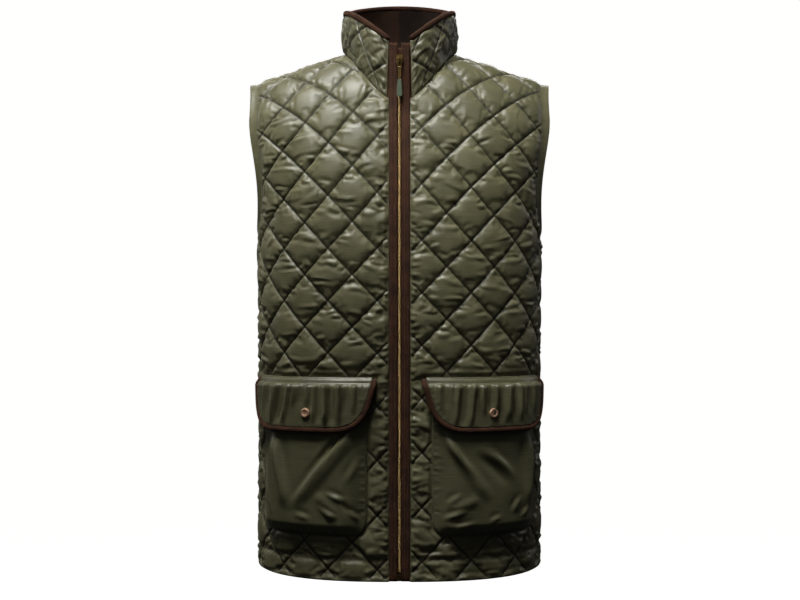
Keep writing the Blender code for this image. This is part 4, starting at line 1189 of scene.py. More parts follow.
def stitch_tree() -> tuple[Any, dict[str, str]]:
    """Stitches along the edges of a mesh: slim grains laid end to end with a small gap."""
    tree, start, names = sized_tree("sewn_stitches", ("Pitch", "Length", "Thickness"))
    curve = add_node(tree, "GeometryNodeMeshToCurve", {0: start[0]})
    run = {0: curve.outputs[0], "Length": start["Pitch"]}
    points = add_node(tree, "GeometryNodeCurveToPoints", run, mode="LENGTH").outputs
    grain = add_node(tree, "GeometryNodeMeshIcoSphere", {"Radius": 0.5, "Subdivisions": 1})
    size = add_node(tree, XYZ, {0: start["Thickness"], 1: start["Thickness"], 2: start["Length"]})
    grains = {"Instance": grain.outputs[0], "Scale": size.outputs[0]}
    places = {"Points": points["Points"], "Rotation": points["Rotation"]}
    laid = add_node(tree, "GeometryNodeInstanceOnPoints", {**places, **grains})
    end_tree(tree, start, laid.outputs[0])
    return tree, names


def tooth_tree() -> tuple[Any, dict[str, str]]:
    """Two rows of zip teeth along a path, the second row half a pitch behind the first."""
    tree, start, names = sized_tree("zip_teeth", ("Pitch", "Tooth width", "Tooth height", "Tooth depth", "Row offset"))
    curve = add_node(tree, "GeometryNodeMeshToCurve", {0: start[0]})
    run = {0: curve.outputs[0], "Length": start["Pitch"]}
    points = add_node(tree, "GeometryNodeCurveToPoints", run, mode="LENGTH").outputs
    turn = add_node(tree, "FunctionNodeAlignRotationToVector", {"Vector": points["Tangent"]}, axis="Z")
    body = add_node(tree, "GeometryNodeMeshCylinder", {"Vertices": 8, "Radius": 0.5, "Depth": 1.0})
    size = add_node(tree, XYZ, {0: start["Tooth width"], 1: start["Tooth depth"], 2: start["Tooth height"]})
    tooth = {"Instance": body.outputs[0], "Rotation": turn.outputs[0], "Scale": size.outputs[0]}
    both = tree.nodes.new("GeometryNodeJoinGeometry")
    for sign, behind in ((1.0, 0.0), (-1.0, 0.5)):
        row = add_node(tree, "GeometryNodeInstanceOnPoints", {"Points": points["Points"], **tooth})
        aside = add_node(tree, MATH, {0: start["Row offset"], 1: sign}, operation="MULTIPLY")
        back = add_node(tree, MATH, {0: start["Pitch"], 1: behind}, operation="MULTIPLY")
        shift = add_node(tree, XYZ, {0: aside.outputs[0], 2: back.outputs[0]})
        moved = {"Instances": row.outputs[0], "Translation": shift.outputs[0], "Local Space": False}
        feed(tree, both, {0: add_node(tree, "GeometryNodeTranslateInstances", moved).outputs[0]})
    end_tree(tree, start, both.outputs[0])
    return tree, names


def repeated(
    name: str,
    paths: Sequence[np.ndarray],
    made: tuple[Any, dict[str, str]],
    sizes: dict[str, float],
    finish: Finish,
    nodes: Sequence[str] = (),
) -> bpy.types.Object:
    """A plain mesh of what a tree repeats along paths.

    Args:
        name: The piece's name.
        paths: Lines of points.
        made: The tree and its inputs' identifiers.
        sizes: Values for the tree's sizes.
        finish: The piece's finish.
        nodes: The nodes that it replaces.

    Returns:
        The piece, riding on the garment.
    """
    tree, names = made
    mesh = bpy.data.meshes.new(f"{name}_path")
    runs, count = [], 0
    for path in paths:
        runs += [(count + i, count + i + 1) for i in range(len(path) - 1)]
        count += len(path)
    mesh.from_pydata(np.concatenate(paths).tolist(), runs, [])
    guide = bpy.data.objects.new(f"{name}_guide", mesh)
    modifier = guide.modifiers.new("repeat", "NODES")
    modifier.node_group = tree
    for size, value in sizes.items():
        modifier[names[size]] = value
    modifier[names["Finish"]] = finish.material()
    bpy.context.scene.collection.objects.link(guide)
    plain = bpy.data.meshes.new_from_object(guide.evaluated_get(bpy.context.evaluated_depsgraph_get()))
    plain.name = name
    guide.modifiers.remove(modifier)
    drop_object(guide)
    obj = bpy.data.objects.new(name, plain)
    bpy.context.scene.collection.objects.link(obj)
    return registered(obj, finish, nodes)


@dataclass
class Sewing:
    """All the stitches of the garment, gathered by thread and laid at the end."""

    pitch: float = 0.0033
    length: float = 0.0027
    thickness: float = 0.00055
    sunk: float = 0.00005
    runs: dict[str, tuple[Finish, list]] = field(default_factory=dict)

    def lay(self, group: str, thread: Finish, surface: BVHTree, lines: Iterable[np.ndarray]) -> None:
        """Lays lines of stitches on a surface.

        Args:
            group: The piece that the stitches belong to.
            thread: Their thread.
            surface: What they are sewn through.
            lines: Lines of points close to the surface.
        """
        _, kept = self.runs.setdefault(group, (thread, []))
        for line in lines:
            path = []
            for point in line:
                place, normal, _, _ = surface.find_nearest(Vector(point))
                path.append(tuple(place + normal * self.sunk))
            if len(path) > 2:
                kept.append(np.array(path))

    def build(self) -> None:
        """Makes one piece of stitches for each group."""
        made = stitch_tree()
        sizes = {"Pitch": self.pitch, "Length": self.length, "Thickness": self.thickness}
        for group, (thread, paths) in self.runs.items():
            repeated(f"stitches_{group}", paths, made, sizes, thread)


def offset_line(line: np.ndarray, distance: float, step: float = 0.002) -> np.ndarray:
    """A line moved to its left by a distance."""
    line = resampled(line, step)
    runs = unit(np.gradient(line, axis=0))
    return line + np.stack([-runs[:, 1], runs[:, 0]], axis=-1) * distance


@dataclass(frozen=True)
class PuckerRange:
    """How the small puckers along a seam vary: the least and most of each size."""

    spacing: tuple[float, float] = (0.0040, 0.0085)
    length: tuple[float, float] = (0.007, 0.022)
    rise: tuple[float, float] = (0.0007, 0.0016)
    half_width: tuple[float, float] = (0.0015, 0.0025)
    tilt: float = 0.22

    def along(self, line: np.ndarray, inward: int, rng: np.random.Generator) -> list[Crease]:
        """Puckers that start on a line and run away from it.

        Args:
            line: The seam's flat points.
            inward: 1 where the cloth lies to the line's left, or -1.
            rng: The seeded generator.

        Returns:
            The puckers.
        """
        line = resampled(line, 0.001)
        lengths = lengths_along(line)
        runs = unit(np.gradient(line, axis=0))
        creases, at = [], rng.uniform(*self.spacing)
        while at < lengths[-1]:
            index = int(np.searchsorted(lengths, at))
            angle = math.atan2(runs[index, 1], runs[index, 0]) + inward * math.pi / 2 + rng.normal(0, self.tilt)
            length = rng.uniform(*self.length)
            end = line[index] + length * np.array([math.cos(angle), math.sin(angle)])
            rise = rng.uniform(*self.rise) * rng.choice([1, 1, -0.7])
            width = rng.uniform(*self.half_width)
            creases.append(Crease(*line[index], *end, rise, width, heel=0.18, toe=0.8))
            at += rng.uniform(*self.spacing)
        return creases


# Quilted pieces


@dataclass
class QuiltedPiece:
    """A padded, quilted piece of cloth, cut flat, stitched in diamonds and swollen between the stitches."""

    name: str
    node: str
    form: Form
    edges: dict[str, np.ndarray]
    quilting: Quilting
    seed: int
    per_side: int = 16
    wall: float = 0.0022
    inner_step: float = 0.02
    stitch_fade: float = 0.007
    edge_roll: float = 0.0012
    edge_height: float = 0.0024
    hem_line: float | None = None
    patches: tuple[np.ndarray, ...] = ()
    bands: dict[str, float] = field(default_factory=dict)
    rolled: tuple[str, ...] = ("hem", "armhole")
    gathered: tuple[str, ...] = ()
    upright_above: float = 1.0
    padding: Padding = Padding()
    puckers: PuckerRange = PuckerRange()
    crease_rise: float = 0.0021
    crease_limit: float = 0.0013
    seam_roll: float = 0.0003
    loft: float = 0.85
    crispness: float = 0.62
    groove: float = 0.0012
    groove_width: float = 0.0010
    start_share: float = 0.6
    swell_limit: float = 1.5
    swell_room: float = 0.0010
    drift_limit: float = 0.004
    sewn_share: float = 0.02
    sewn_below: float = 0.12
    crease_fade: float = 0.014
    pucker_fade: float = 0.004
    patch_fade: float = 0.006
    roll_reach: float = 0.0045
    rim_reach: float = 0.002
    stitch_clearance: float = 0.0025

    def __post_init__(self) -> None:
        """Joins the named edges to one outline."""
        self.spacing = float(np.hypot(*self.quilting.size)) / 2 / self.per_side
        self.outline = np.concatenate([resampled(edge, self.spacing)[:-1] for edge in self.edges.values()])
        self.rng = np.random.default_rng(self.seed)

    def near_edges(self, flat: np.ndarray, names: Iterable[str]) -> np.ndarray:
        """Least distance from flat points to some of the named edges."""
        found = np.full(len(flat), 1.0)
        for name in names:
            for key, edge in self.edges.items():
                if key.startswith(name):
                    found = np.minimum(found, distance_to(flat, resampled(edge, 0.004), closed=False))
        return found

    def cut(self) -> tuple[np.ndarray, list]:
        """The piece's flat points and faces."""
        fill = kept_inside(self.quilting.points(self.outline, self.per_side), self.outline, FILL_SHARE * self.spacing)
        lines = []
        if self.hem_line is not None:
            across = np.arange(self.outline[:, 0].min() + 0.003, self.outline[:, 0].max() - 0.003, self.spacing)
            line = np.stack([across, np.full(len(across), self.hem_line)], axis=-1)
            fill = fill[np.abs(fill[:, 1] - self.hem_line) > FILL_SHARE * self.spacing]
            lines.append(line)
        for patch in self.patches[:1]:
            deep = inside(fill, patch) & (distance_to(fill, patch) > 0.008)
            coarse = kept_inside(staggered_points(patch, 0.012), patch, 0.012)
            fill = np.concatenate([fill[~deep], coarse])
        flat, faces, _ = cut_flat(self.outline, fill, lines)
        return flat, [face[::-1] for face in faces] if self.form.outward < 0 else faces

    def held_back(self, flat: np.ndarray) -> np.ndarray:
        """How free the filling is at flat points: 0 at seams and under patches, 1 in the open."""
        free = ease(distance_to(flat, self.outline) / self.stitch_fade)
        for name, width in self.bands.items():
            free *= ease((self.near_edges(flat, [name]) - width) / self.stitch_fade)
        if self.hem_line is not None:
            free *= ease(np.abs(flat[:, 1] - self.hem_line) / self.stitch_fade)
        return free * ease(self.clear_of_patches(flat) / self.stitch_fade)

    def clear_of_patches(self, flat: np.ndarray) -> np.ndarray:
        """Least distance from flat points to the patches sewn over the piece, 0 under them."""
        found = np.full(len(flat), 1.0)
        for patch in self.patches:
            found = np.minimum(found, np.where(inside(flat, patch), 0.0, distance_to(flat, patch)))
        return found

    def groove_height(self, flat: np.ndarray) -> np.ndarray:
        """How far the thread pulls the cloth in along the stitch lines."""
        across = self.quilting.off_line(flat).min(axis=1) * np.prod(self.quilting.size)
        across /= 2 * float(np.hypot(*self.quilting.size))
        return -self.groove * np.exp(-((across / self.groove_width) ** 2))

    def edge_lift(self, flat: np.ndarray) -> np.ndarray:
        """The height of turned edges: a soft roll out to the edge and a slight swell in its band."""
        off = self.near_edges(flat, self.rolled)
        return self.edge_height * np.exp(-((off / self.roll_reach) ** 2))

    def quilt_creases(self) -> list[Crease]:
        """Creases that start on the stitch lines and run into the diamonds, each drawn by chance."""
        creases = []
        half = self.quilting.size / 2
        for middle in self.quilting.diamonds(self.outline):
            upright = middle[1] > self.upright_above
            for _ in range(int(self.rng.integers(5, 9))):
                signs = self.rng.choice([-1, 1], 2)
                share = self.rng.uniform(0.2, 0.85)
                start = middle + signs * half * (share, 1 - share)
                reach = half[1] * (1 - share) * 1.5 if upright else half[0] * share * 1.5
                length = min(self.rng.uniform(0.012, 0.040), reach)
                angle = self.rng.normal(0, 0.2) + (math.pi / 2 if upright else 0.0)
                sign = -signs[1] if upright else -signs[0]
                end = start + sign * length * np.array([math.cos(angle), math.sin(angle)])
                rise = self.crease_rise * self.rng.uniform(0.35, 1.25) * self.rng.choice([1, 1, -0.8])
                rise *= 0.5 if upright else 1.0
                width = self.rng.uniform(0.0018, 0.0034)
                bend = self.rng.normal(0, 0.0016)
                creases.append(Crease(*start, *end, rise, width, bend, heel=0.3, toe=0.6))
        return creases

    def build(self) -> Shell:
        """Cuts, pads, creases and closes the piece, and keeps its outer side for stitches."""
        flat, faces = self.cut()
        free = self.held_back(flat)
        relief = self.quilting.relief(flat) * free
        base, normals = self.form.place(flat), self.form.normals(flat)
        lift = self.edge_lift(flat)
        start = Shell(base + (self.start_share * relief + lift)[:, None] * normals, faces, flat)
        heights = relief + lift
        sewn = (self.quilting.off_line(flat).min(axis=1) < self.sewn_share) | (free < self.sewn_below)
        swollen = self.padding.swell(start, sewn)
        offsets = swollen - base
        raised = (offsets * normals).sum(axis=1)
        heights = np.clip(raised, 0.0, self.swell_limit * relief + lift + self.swell_room * free)
        drift = offsets - raised[:, None] * normals
        drift *= np.minimum(1, self.drift_limit / np.maximum(np.linalg.norm(drift, axis=1), TINY))[:, None]
        base = base + drift
        fullness = np.maximum(heights - lift, 0) / self.quilting.puff
        heights = self.loft * self.quilting.puff * fullness**self.crispness + np.minimum(heights, lift)
        shell = subdivided(Shell(base + heights[:, None] * normals, faces, flat))
        off_edge = distance_to(shell.flat, self.outline)
        held = self.held_back(shell.flat) * ease(off_edge / self.crease_fade)
        added = crease_height(shell.flat, self.quilt_creases()) * held
        for name in self.gathered:
            close = ease(off_edge / self.pucker_fade)
            added += crease_height(shell.flat, self.puckers.along(self.edges[name], 1, self.rng)) * close
        added = self.crease_limit * np.tanh(added / self.crease_limit)
        sunk = self.groove_height(shell.flat) * self.has_stitches(shell.flat)
        added = (added + sunk) * ease(self.clear_of_patches(shell.flat) / self.patch_fade)
        shell.points = shell.points + added[:, None] * point_normals(shell)
        # Mask for darkening the cloth along the stitched grooves: the thread's colour and painted shade in the groove.
        self.thread = -sunk / self.groove
        self.surface = shell.tree()
        return closed_wall(
            shell,
            self.form,
            lambda inner: np.full(len(inner), -self.wall),
            self.inner_step,
            lambda rim: np.where(self.near_edges(rim, self.rolled) < self.rim_reach, self.edge_roll, self.seam_roll),
        )

    def dress(self, sewing: Sewing, fill: float) -> bpy.types.Object:
        """Makes the piece's object and lays its quilting stitches.

        Args:
            sewing: The garment's stitches.
            fill: Not used.

        Returns:
            The object.
        """
        obj = dressed(self.name, self.build(), NYLON, [self.node])
        # Stores the groove mask that the material paints dark: thread colour and painted groove shade.
        values = np.zeros(len(obj.data.vertices), dtype=np.float32)
        values[: len(self.thread)] = self.thread
        obj.data.attributes.new(THREAD_AND_GROOVE_SHADE, "FLOAT", "POINT").data.foreach_set("value", values)
        lines = self.quilting.stitch_lines(self.has_stitches, self.outline, 0.002)
        sewing.lay(self.node, OLIVE_THREAD, self.surface, [self.form.place(line) for line in lines])
        return obj

    def has_stitches(self, flat: np.ndarray) -> np.ndarray:
        """Which flat points of the stitch lines show their stitches."""
        kept = inside(flat, self.outline) & (distance_to(flat, self.outline) > self.stitch_clearance)
        for name, width in self.bands.items():
            kept &= self.near_edges(flat, [name]) > width
        return kept & (self.clear_of_patches(flat) > 0)

    def topstitch(self, sewing: Sewing, edge: str, distance: float) -> None:
        """Lays a line of stitches inside a named edge."""
        line = offset_line(self.edges[edge], distance)
        line = line[inside(line, self.outline)]
        if len(line) > 3:
            sewing.lay(self.node, OLIVE_THREAD, self.surface, [self.form.place(line)])


# Trims swept along a path


def ring_faces(rings: int, around: int, open_end: bool = False) -> list[tuple]:
    """Faces of a turned or swept form: four-sided between its rings, with a cap on each end.

    Args:
        rings: How many rings of points there are.
        around: How many points each ring has.
        open_end: Whether the last ring has no cap.

    Returns:
        The faces as tuples of indices.
    """
    index = np.arange(rings * around).reshape(rings, around)
    onward = np.roll(index, -1, axis=1)
    sides = np.stack([index[:-1], index[1:], onward[1:], onward[:-1]], axis=-1).reshape(-1, 4)
    caps = [index[0]] if open_end else [index[0], index[-1][::-1]]
    return [tuple(face.tolist()) for face in (*caps, *sides)]


def swept(path: np.ndarray, sides: np.ndarray, section: np.ndarray, taper: np.ndarray | None = None) -> Shell:
    """A closed bar along a path.

    Args:
        path: The bar's middle line.
        sides: The direction of the section's first axis at each point.
        section: Points of the section, along the side and along the normal to it and the path.
        taper: The section's scale at each point.

    Returns:
        The closed shell, with its flat places round and along the bar.
    """
    taper = np.ones(len(path)) if taper is None else taper
    tangents = unit(np.gradient(path, axis=0))
    sides = unit(sides - tangents * (sides * tangents).sum(axis=1)[:, None])
    normals = np.cross(sides, tangents)
    rings = path[:, None] + taper[:, None, None] * (
        sides[:, None] * section[None, :, :1] + normals[:, None] * section[None, :, 1:]
    )
    girth = lengths_along(section)
    flat = np.stack(np.meshgrid(girth, lengths_along(path)), axis=-1).reshape(-1, 2)
    return turned_out(Shell(rings.reshape(-1, 3), ring_faces(len(path), len(section)), flat))


def turned_out(shell: Shell) -> Shell:
    """A closed shell whose faces point outwards."""
    centred = shell.points - shell.points.mean(axis=0)
    volume = 0.0
    for face in shell.faces:
        corners = centred[list(face)]
        for i in range(1, len(face) - 1):
            volume += float(np.dot(corners[0], np.cross(corners[i], corners[i + 1])))
    if volume < 0:
        shell.faces = [tuple(face[::-1]) for face in shell.faces]
    return shell


def rounded_section(half_width: float, half_height: float, squareness: float, count: int) -> np.ndarray:
    """Points of a rounded section, between an oval and a box."""
    turn = np.linspace(0, 2 * math.pi, count, endpoint=False)
    across, up = np.cos(turn), np.sin(turn)
    power = 2 / squareness
    return np.stack(
        [half_width * np.sign(across) * np.abs(across) ** power, half_height * np.sign(up) * np.abs(up) ** power],
        axis=-1,
    )


def blunt_ends(path: np.ndarray, reach: float) -> np.ndarray:
    """A scale along a path that rounds off its two ends."""
    lengths = lengths_along(path)
    off = np.minimum(lengths, lengths[-1] - lengths)
    return np.sqrt(np.clip(1 - (1 - np.clip(off / reach, 0, 1)) ** 2, 0.02, 1))


# Pockets and flaps


def patch_outline(inner: float, outer: float, low: float, high: float, corner: float, step: float) -> np.ndarray:
    """A patch with round lower corners, anticlockwise, where across is positive."""
    turn = np.linspace(0, math.pi / 2, 9)
    near = np.stack([inner + corner * (1 - np.cos(turn)), low + corner * (1 - np.sin(turn))], axis=-1)
    far = np.stack([outer - corner * (1 - np.sin(turn)), low + corner * (1 - np.cos(turn))], axis=-1)
    sewn = np.concatenate([[(inner, high)], near, far, [(outer, high)]])
    mouth = np.array([(outer, high), (inner, high)])
    return np.concatenate([resampled(sewn, step)[:-1], resampled(mouth, step)[:-1]])


def plain_sheet(form: Form, outline: np.ndarray, step: float, height: Callable[[np.ndarray], np.ndarray]) -> Shell:
    """The open outer side of a plain piece of cloth.

    Args:
        form: What the cloth is formed on.
        outline: The piece's flat outline, anticlockwise.
        step: Spacing of its points.
        height: Height of the outer side at flat points.

    Returns:
        The open shell.
    """
    flat, faces, _ = cut_flat(outline, kept_inside(square_points(outline, step), outline, FILL_SHARE * step))
    return subdivided(Shell(form.at(flat, height(flat)), faces, flat))


def on_side(outline: np.ndarray, side: Side) -> np.ndarray:
    """An outline mirrored where it lies on the wearer's right, still anticlockwise."""
    return outline if side is Side.LEFT else (outline * (-1, 1))[::-1]


@dataclass(frozen=True)
class Fold:
    """A broad ridge of a pocket bag between two places of the front's cloth."""

    across: float
    height: float
    to_across: float
    to_height: float
    rise: float
    half_width: float


POCKET_FOLDS = {
    Side.RIGHT: (
        Fold(0.046, -0.480, 0.139, -0.592, 0.0036, 0.012),
        Fold(0.168, -0.494, 0.141, -0.592, 0.0042, 0.015),
        Fold(0.104, -0.566, 0.076, -0.598, 0.0024, 0.010),
    ),
    Side.LEFT: (
        Fold(0.054, -0.490, 0.114, -0.580, 0.0034, 0.012),
        Fold(0.177, -0.492, 0.166, -0.592, 0.0038, 0.013),
        Fold(0.060, -0.590, 0.100, -0.572, 0.0024, 0.010),
    ),
}

# Sharp creases of the bags: across, height, to across, to height, rise, half width, bend
POCKET_CREASES = {
    Side.RIGHT: (
        (0.046, -0.474, 0.140, -0.594, 0.0024, 0.0042, 0.004),
        (0.058, -0.478, 0.112, -0.556, -0.0016, 0.0055, 0.003),
        (0.171, -0.488, 0.143, -0.594, 0.0022, 0.0050, -0.003),
        (0.150, -0.486, 0.141, -0.570, -0.0014, 0.0060, 0.002),
        (0.066, -0.578, 0.096, -0.566, 0.0016, 0.0034, 0.001),
        (0.074, -0.598, 0.104, -0.580, 0.0018, 0.0032, -0.002),
        (0.060, -0.592, 0.078, -0.572, -0.0012, 0.0040, 0.001),
        (0.050, -0.602, 0.066, -0.586, 0.0014, 0.0030, 0.001),
        (0.108, -0.600, 0.136, -0.594, 0.0012, 0.0034, 0.001),
        (0.182, -0.560, 0.160, -0.600, 0.0012, 0.0036, 0.002),
        (0.050, -0.520, 0.072, -0.560, 0.0010, 0.0040, -0.002),
    ),
    Side.LEFT: (
        (0.052, -0.486, 0.099, -0.552, 0.0024, 0.0042, -0.003),
        (0.090, -0.516, 0.143, -0.566, -0.0022, 0.0062, 0.004),
        (0.104, -0.512, 0.150, -0.556, 0.0012, 0.0045, 0.003),
        (0.178, -0.490, 0.166, -0.594, 0.0024, 0.0046, 0.002),
        (0.160, -0.492, 0.156, -0.560, -0.0014, 0.0060, -0.002),
        (0.052, -0.600, 0.090, -0.588, 0.0018, 0.0034, 0.002),
        (0.060, -0.608, 0.098, -0.602, 0.0014, 0.0030, -0.001),
        (0.058, -0.584, 0.082, -0.566, 0.0012, 0.0036, 0.002),
        (0.142, -0.596, 0.158, -0.572, 0.0016, 0.0034, 0.002),
        (0.152, -0.602, 0.168, -0.584, 0.0012, 0.0030, -0.001),
        (0.110, -0.604, 0.130, -0.596, 0.0010, 0.0030, 0.001),
    ),
}


@dataclass
class PatchPocket:
    """A plain patch pocket that bulges between its sewn edges."""

    figure: Figure
    side: Side
    inner: float = 0.042
    outer: float = 0.196
    bottom: float = -0.619
    mouth: float = -0.440
    corner: float = 0.022
    wall: float = 0.0016
    bulge: float = 0.0135
    mouth_bulge: float = 0.0070
    rise_side: float = 0.034
    rise_bottom: float = 0.015
    gap: float = 0.0008
    step: float = 0.0026
    stitch_inset: float = 0.0022
    crease_gain: float = 1.4

    def __post_init__(self) -> None:
        """Finds the pocket's form and its lowest and highest rows."""
        self.form = self.figure.forms[Face.FRONT]
        self.low, self.high = self.figure.up(self.bottom), self.figure.up(self.mouth)

    def folds_at(self, flat: np.ndarray) -> np.ndarray:
        """The height that the broad folds add, fading towards each fold's ends."""
        rise = np.zeros(len(flat))
        for fold in POCKET_FOLDS[self.side]:
            start = np.array([fold.across, self.figure.up(fold.height)])
            run = np.array([fold.to_across, self.figure.up(fold.to_height)]) - start
            along = np.clip((flat - start) @ run / run.dot(run), 0, 1)
            off = np.linalg.norm(flat - start - along[:, None] * run, axis=1)
            rise += fold.rise * ease(along / 0.25) * ease((1 - along) / 0.25) * ease(1 - off / fold.half_width)
        return rise

    def lift(self, flat: np.ndarray) -> np.ndarray:
        """How far the pocket's underside stands off the front."""
        flat = np.stack([np.abs(flat[:, 0]), flat[:, 1]], axis=-1)
        from_side = np.minimum(flat[:, 0] - self.inner, self.outer - flat[:, 0])
        sides = ease(from_side / self.rise_side) ** 0.7
        bottom = ease((flat[:, 1] - self.low) / self.rise_bottom) ** 0.6
        toward_mouth = ease((flat[:, 1] - self.low) / (self.high - self.low))
        bulge = self.bulge + (self.mouth_bulge - self.bulge) * toward_mouth
        return self.gap + (bulge + self.folds_at(flat)) * sides * bottom

    def outline(self, step: float) -> np.ndarray:
        """The pocket's flat outline."""
        outline = patch_outline(self.inner, self.outer, self.low, self.high, self.corner, step)
        return on_side(outline, self.side)

    def creases(self) -> list[Crease]:
        """The bag's sharp creases, and the puckers along its sewn edge."""
        rng = np.random.default_rng(51 + self.side.value)
        up = self.figure.up
        fades = {"heel": 0.42, "toe": 0.58, "flank": 0.5}
        placed = [
            Crease(across, up(height), to_across, up(to_height), self.crease_gain * rise, width, bend, **fades)
            for across, height, to_across, to_height, rise, width, bend in POCKET_CREASES[self.side]
        ]
        near = np.array([(self.inner, self.high - 0.03), (self.inner, self.low + self.corner)])
        foot = np.array([(self.inner + self.corner, self.low), (self.outer - self.corner, self.low)])
        far = np.array([(self.outer, self.low + self.corner), (self.outer, self.high - 0.03)])
        small = PuckerRange(rise=(0.0003, 0.0009), length=(0.006, 0.018), half_width=(0.0014, 0.0026))
        for line in (near, foot, far):
            placed += small.along(line, 1, rng)
        return placed

    def build(self, sewing: Sewing) -> bpy.types.Object:
        """Makes the pocket and lays its stitches."""
        outline = self.outline(self.step)
        shell = plain_sheet(self.form, outline, self.step, lambda flat: self.lift(flat) + self.wall)
        upright = shell.flat * (self.side.value, 1)
        added = crease_height(upright, self.creases()) * ease(distance_to(shell.flat, outline) / 0.004)
        added = np.maximum(added, -0.8 * self.lift(shell.flat))
        shell.points = shell.points + added[:, None] * point_normals(shell)
        surface = shell.tree()
        closed = closed_wall(
            shell,
            self.form,
            lambda inner: self.lift(inner) + np.minimum(crease_height(inner * (self.side.value, 1), self.creases()), 0),
            0.006,
            lambda rim: np.full(len(rim), 0.0005),
        )
        obj = dressed(f"pocket_bag_{self.side.word}", closed, PLAIN_NYLON, [f"pocket_{self.side.word}"])
        sewn = patch_outline(self.inner, self.outer, self.low, self.high - 0.03, self.corner, 0.002)
        sewn = sewn[sewn[:, 1] < self.high - 0.031]
        middle = np.array([(self.inner + self.outer) / 2, (self.low + self.high) / 2])
        line = sewn + (middle - sewn) * (self.stitch_inset / np.linalg.norm(middle - sewn, axis=1))[:, None]
        line = line * (self.side.value, 1)
        sewing.lay(f"pocket_{self.side.word}", OLIVE_THREAD, surface, [self.form.at(line, 0.003)])
        return obj


@dataclass(frozen=True)
class Gather:
    """A trough down from a flap's stitched top."""

    across: float
    lean: float
    length: float
    depth: float
    half_width: float


FLAP_GATHERS = {
    Side.RIGHT: (
        Gather(0.064, 0.002, 0.034, 0.0009, 0.0065),
        Gather(0.085, -0.001, 0.046, 0.0015, 0.0065),
        Gather(0.098, 0.001, 0.044, 0.0013, 0.0060),
        Gather(0.120, 0.004, 0.028, 0.0010, 0.0070),
        Gather(0.147, 0.008, 0.046, 0.0016, 0.0070),
        Gather(0.172, 0.002, 0.034, 0.0009, 0.0065),
    ),
    Side.LEFT: (
        Gather(0.056, 0.003, 0.030, 0.0008, 0.0060),
        Gather(0.084, -0.005, 0.048, 0.0015, 0.0070),
        Gather(0.112, 0.001, 0.036, 0.0012, 0.0065),
        Gather(0.130, -0.004, 0.044, 0.0012, 0.0065),
        Gather(0.148, -0.001, 0.042, 0.0014, 0.0060),
        Gather(0.170, 0.001, 0.036, 0.0010, 0.0065),
    ),
}


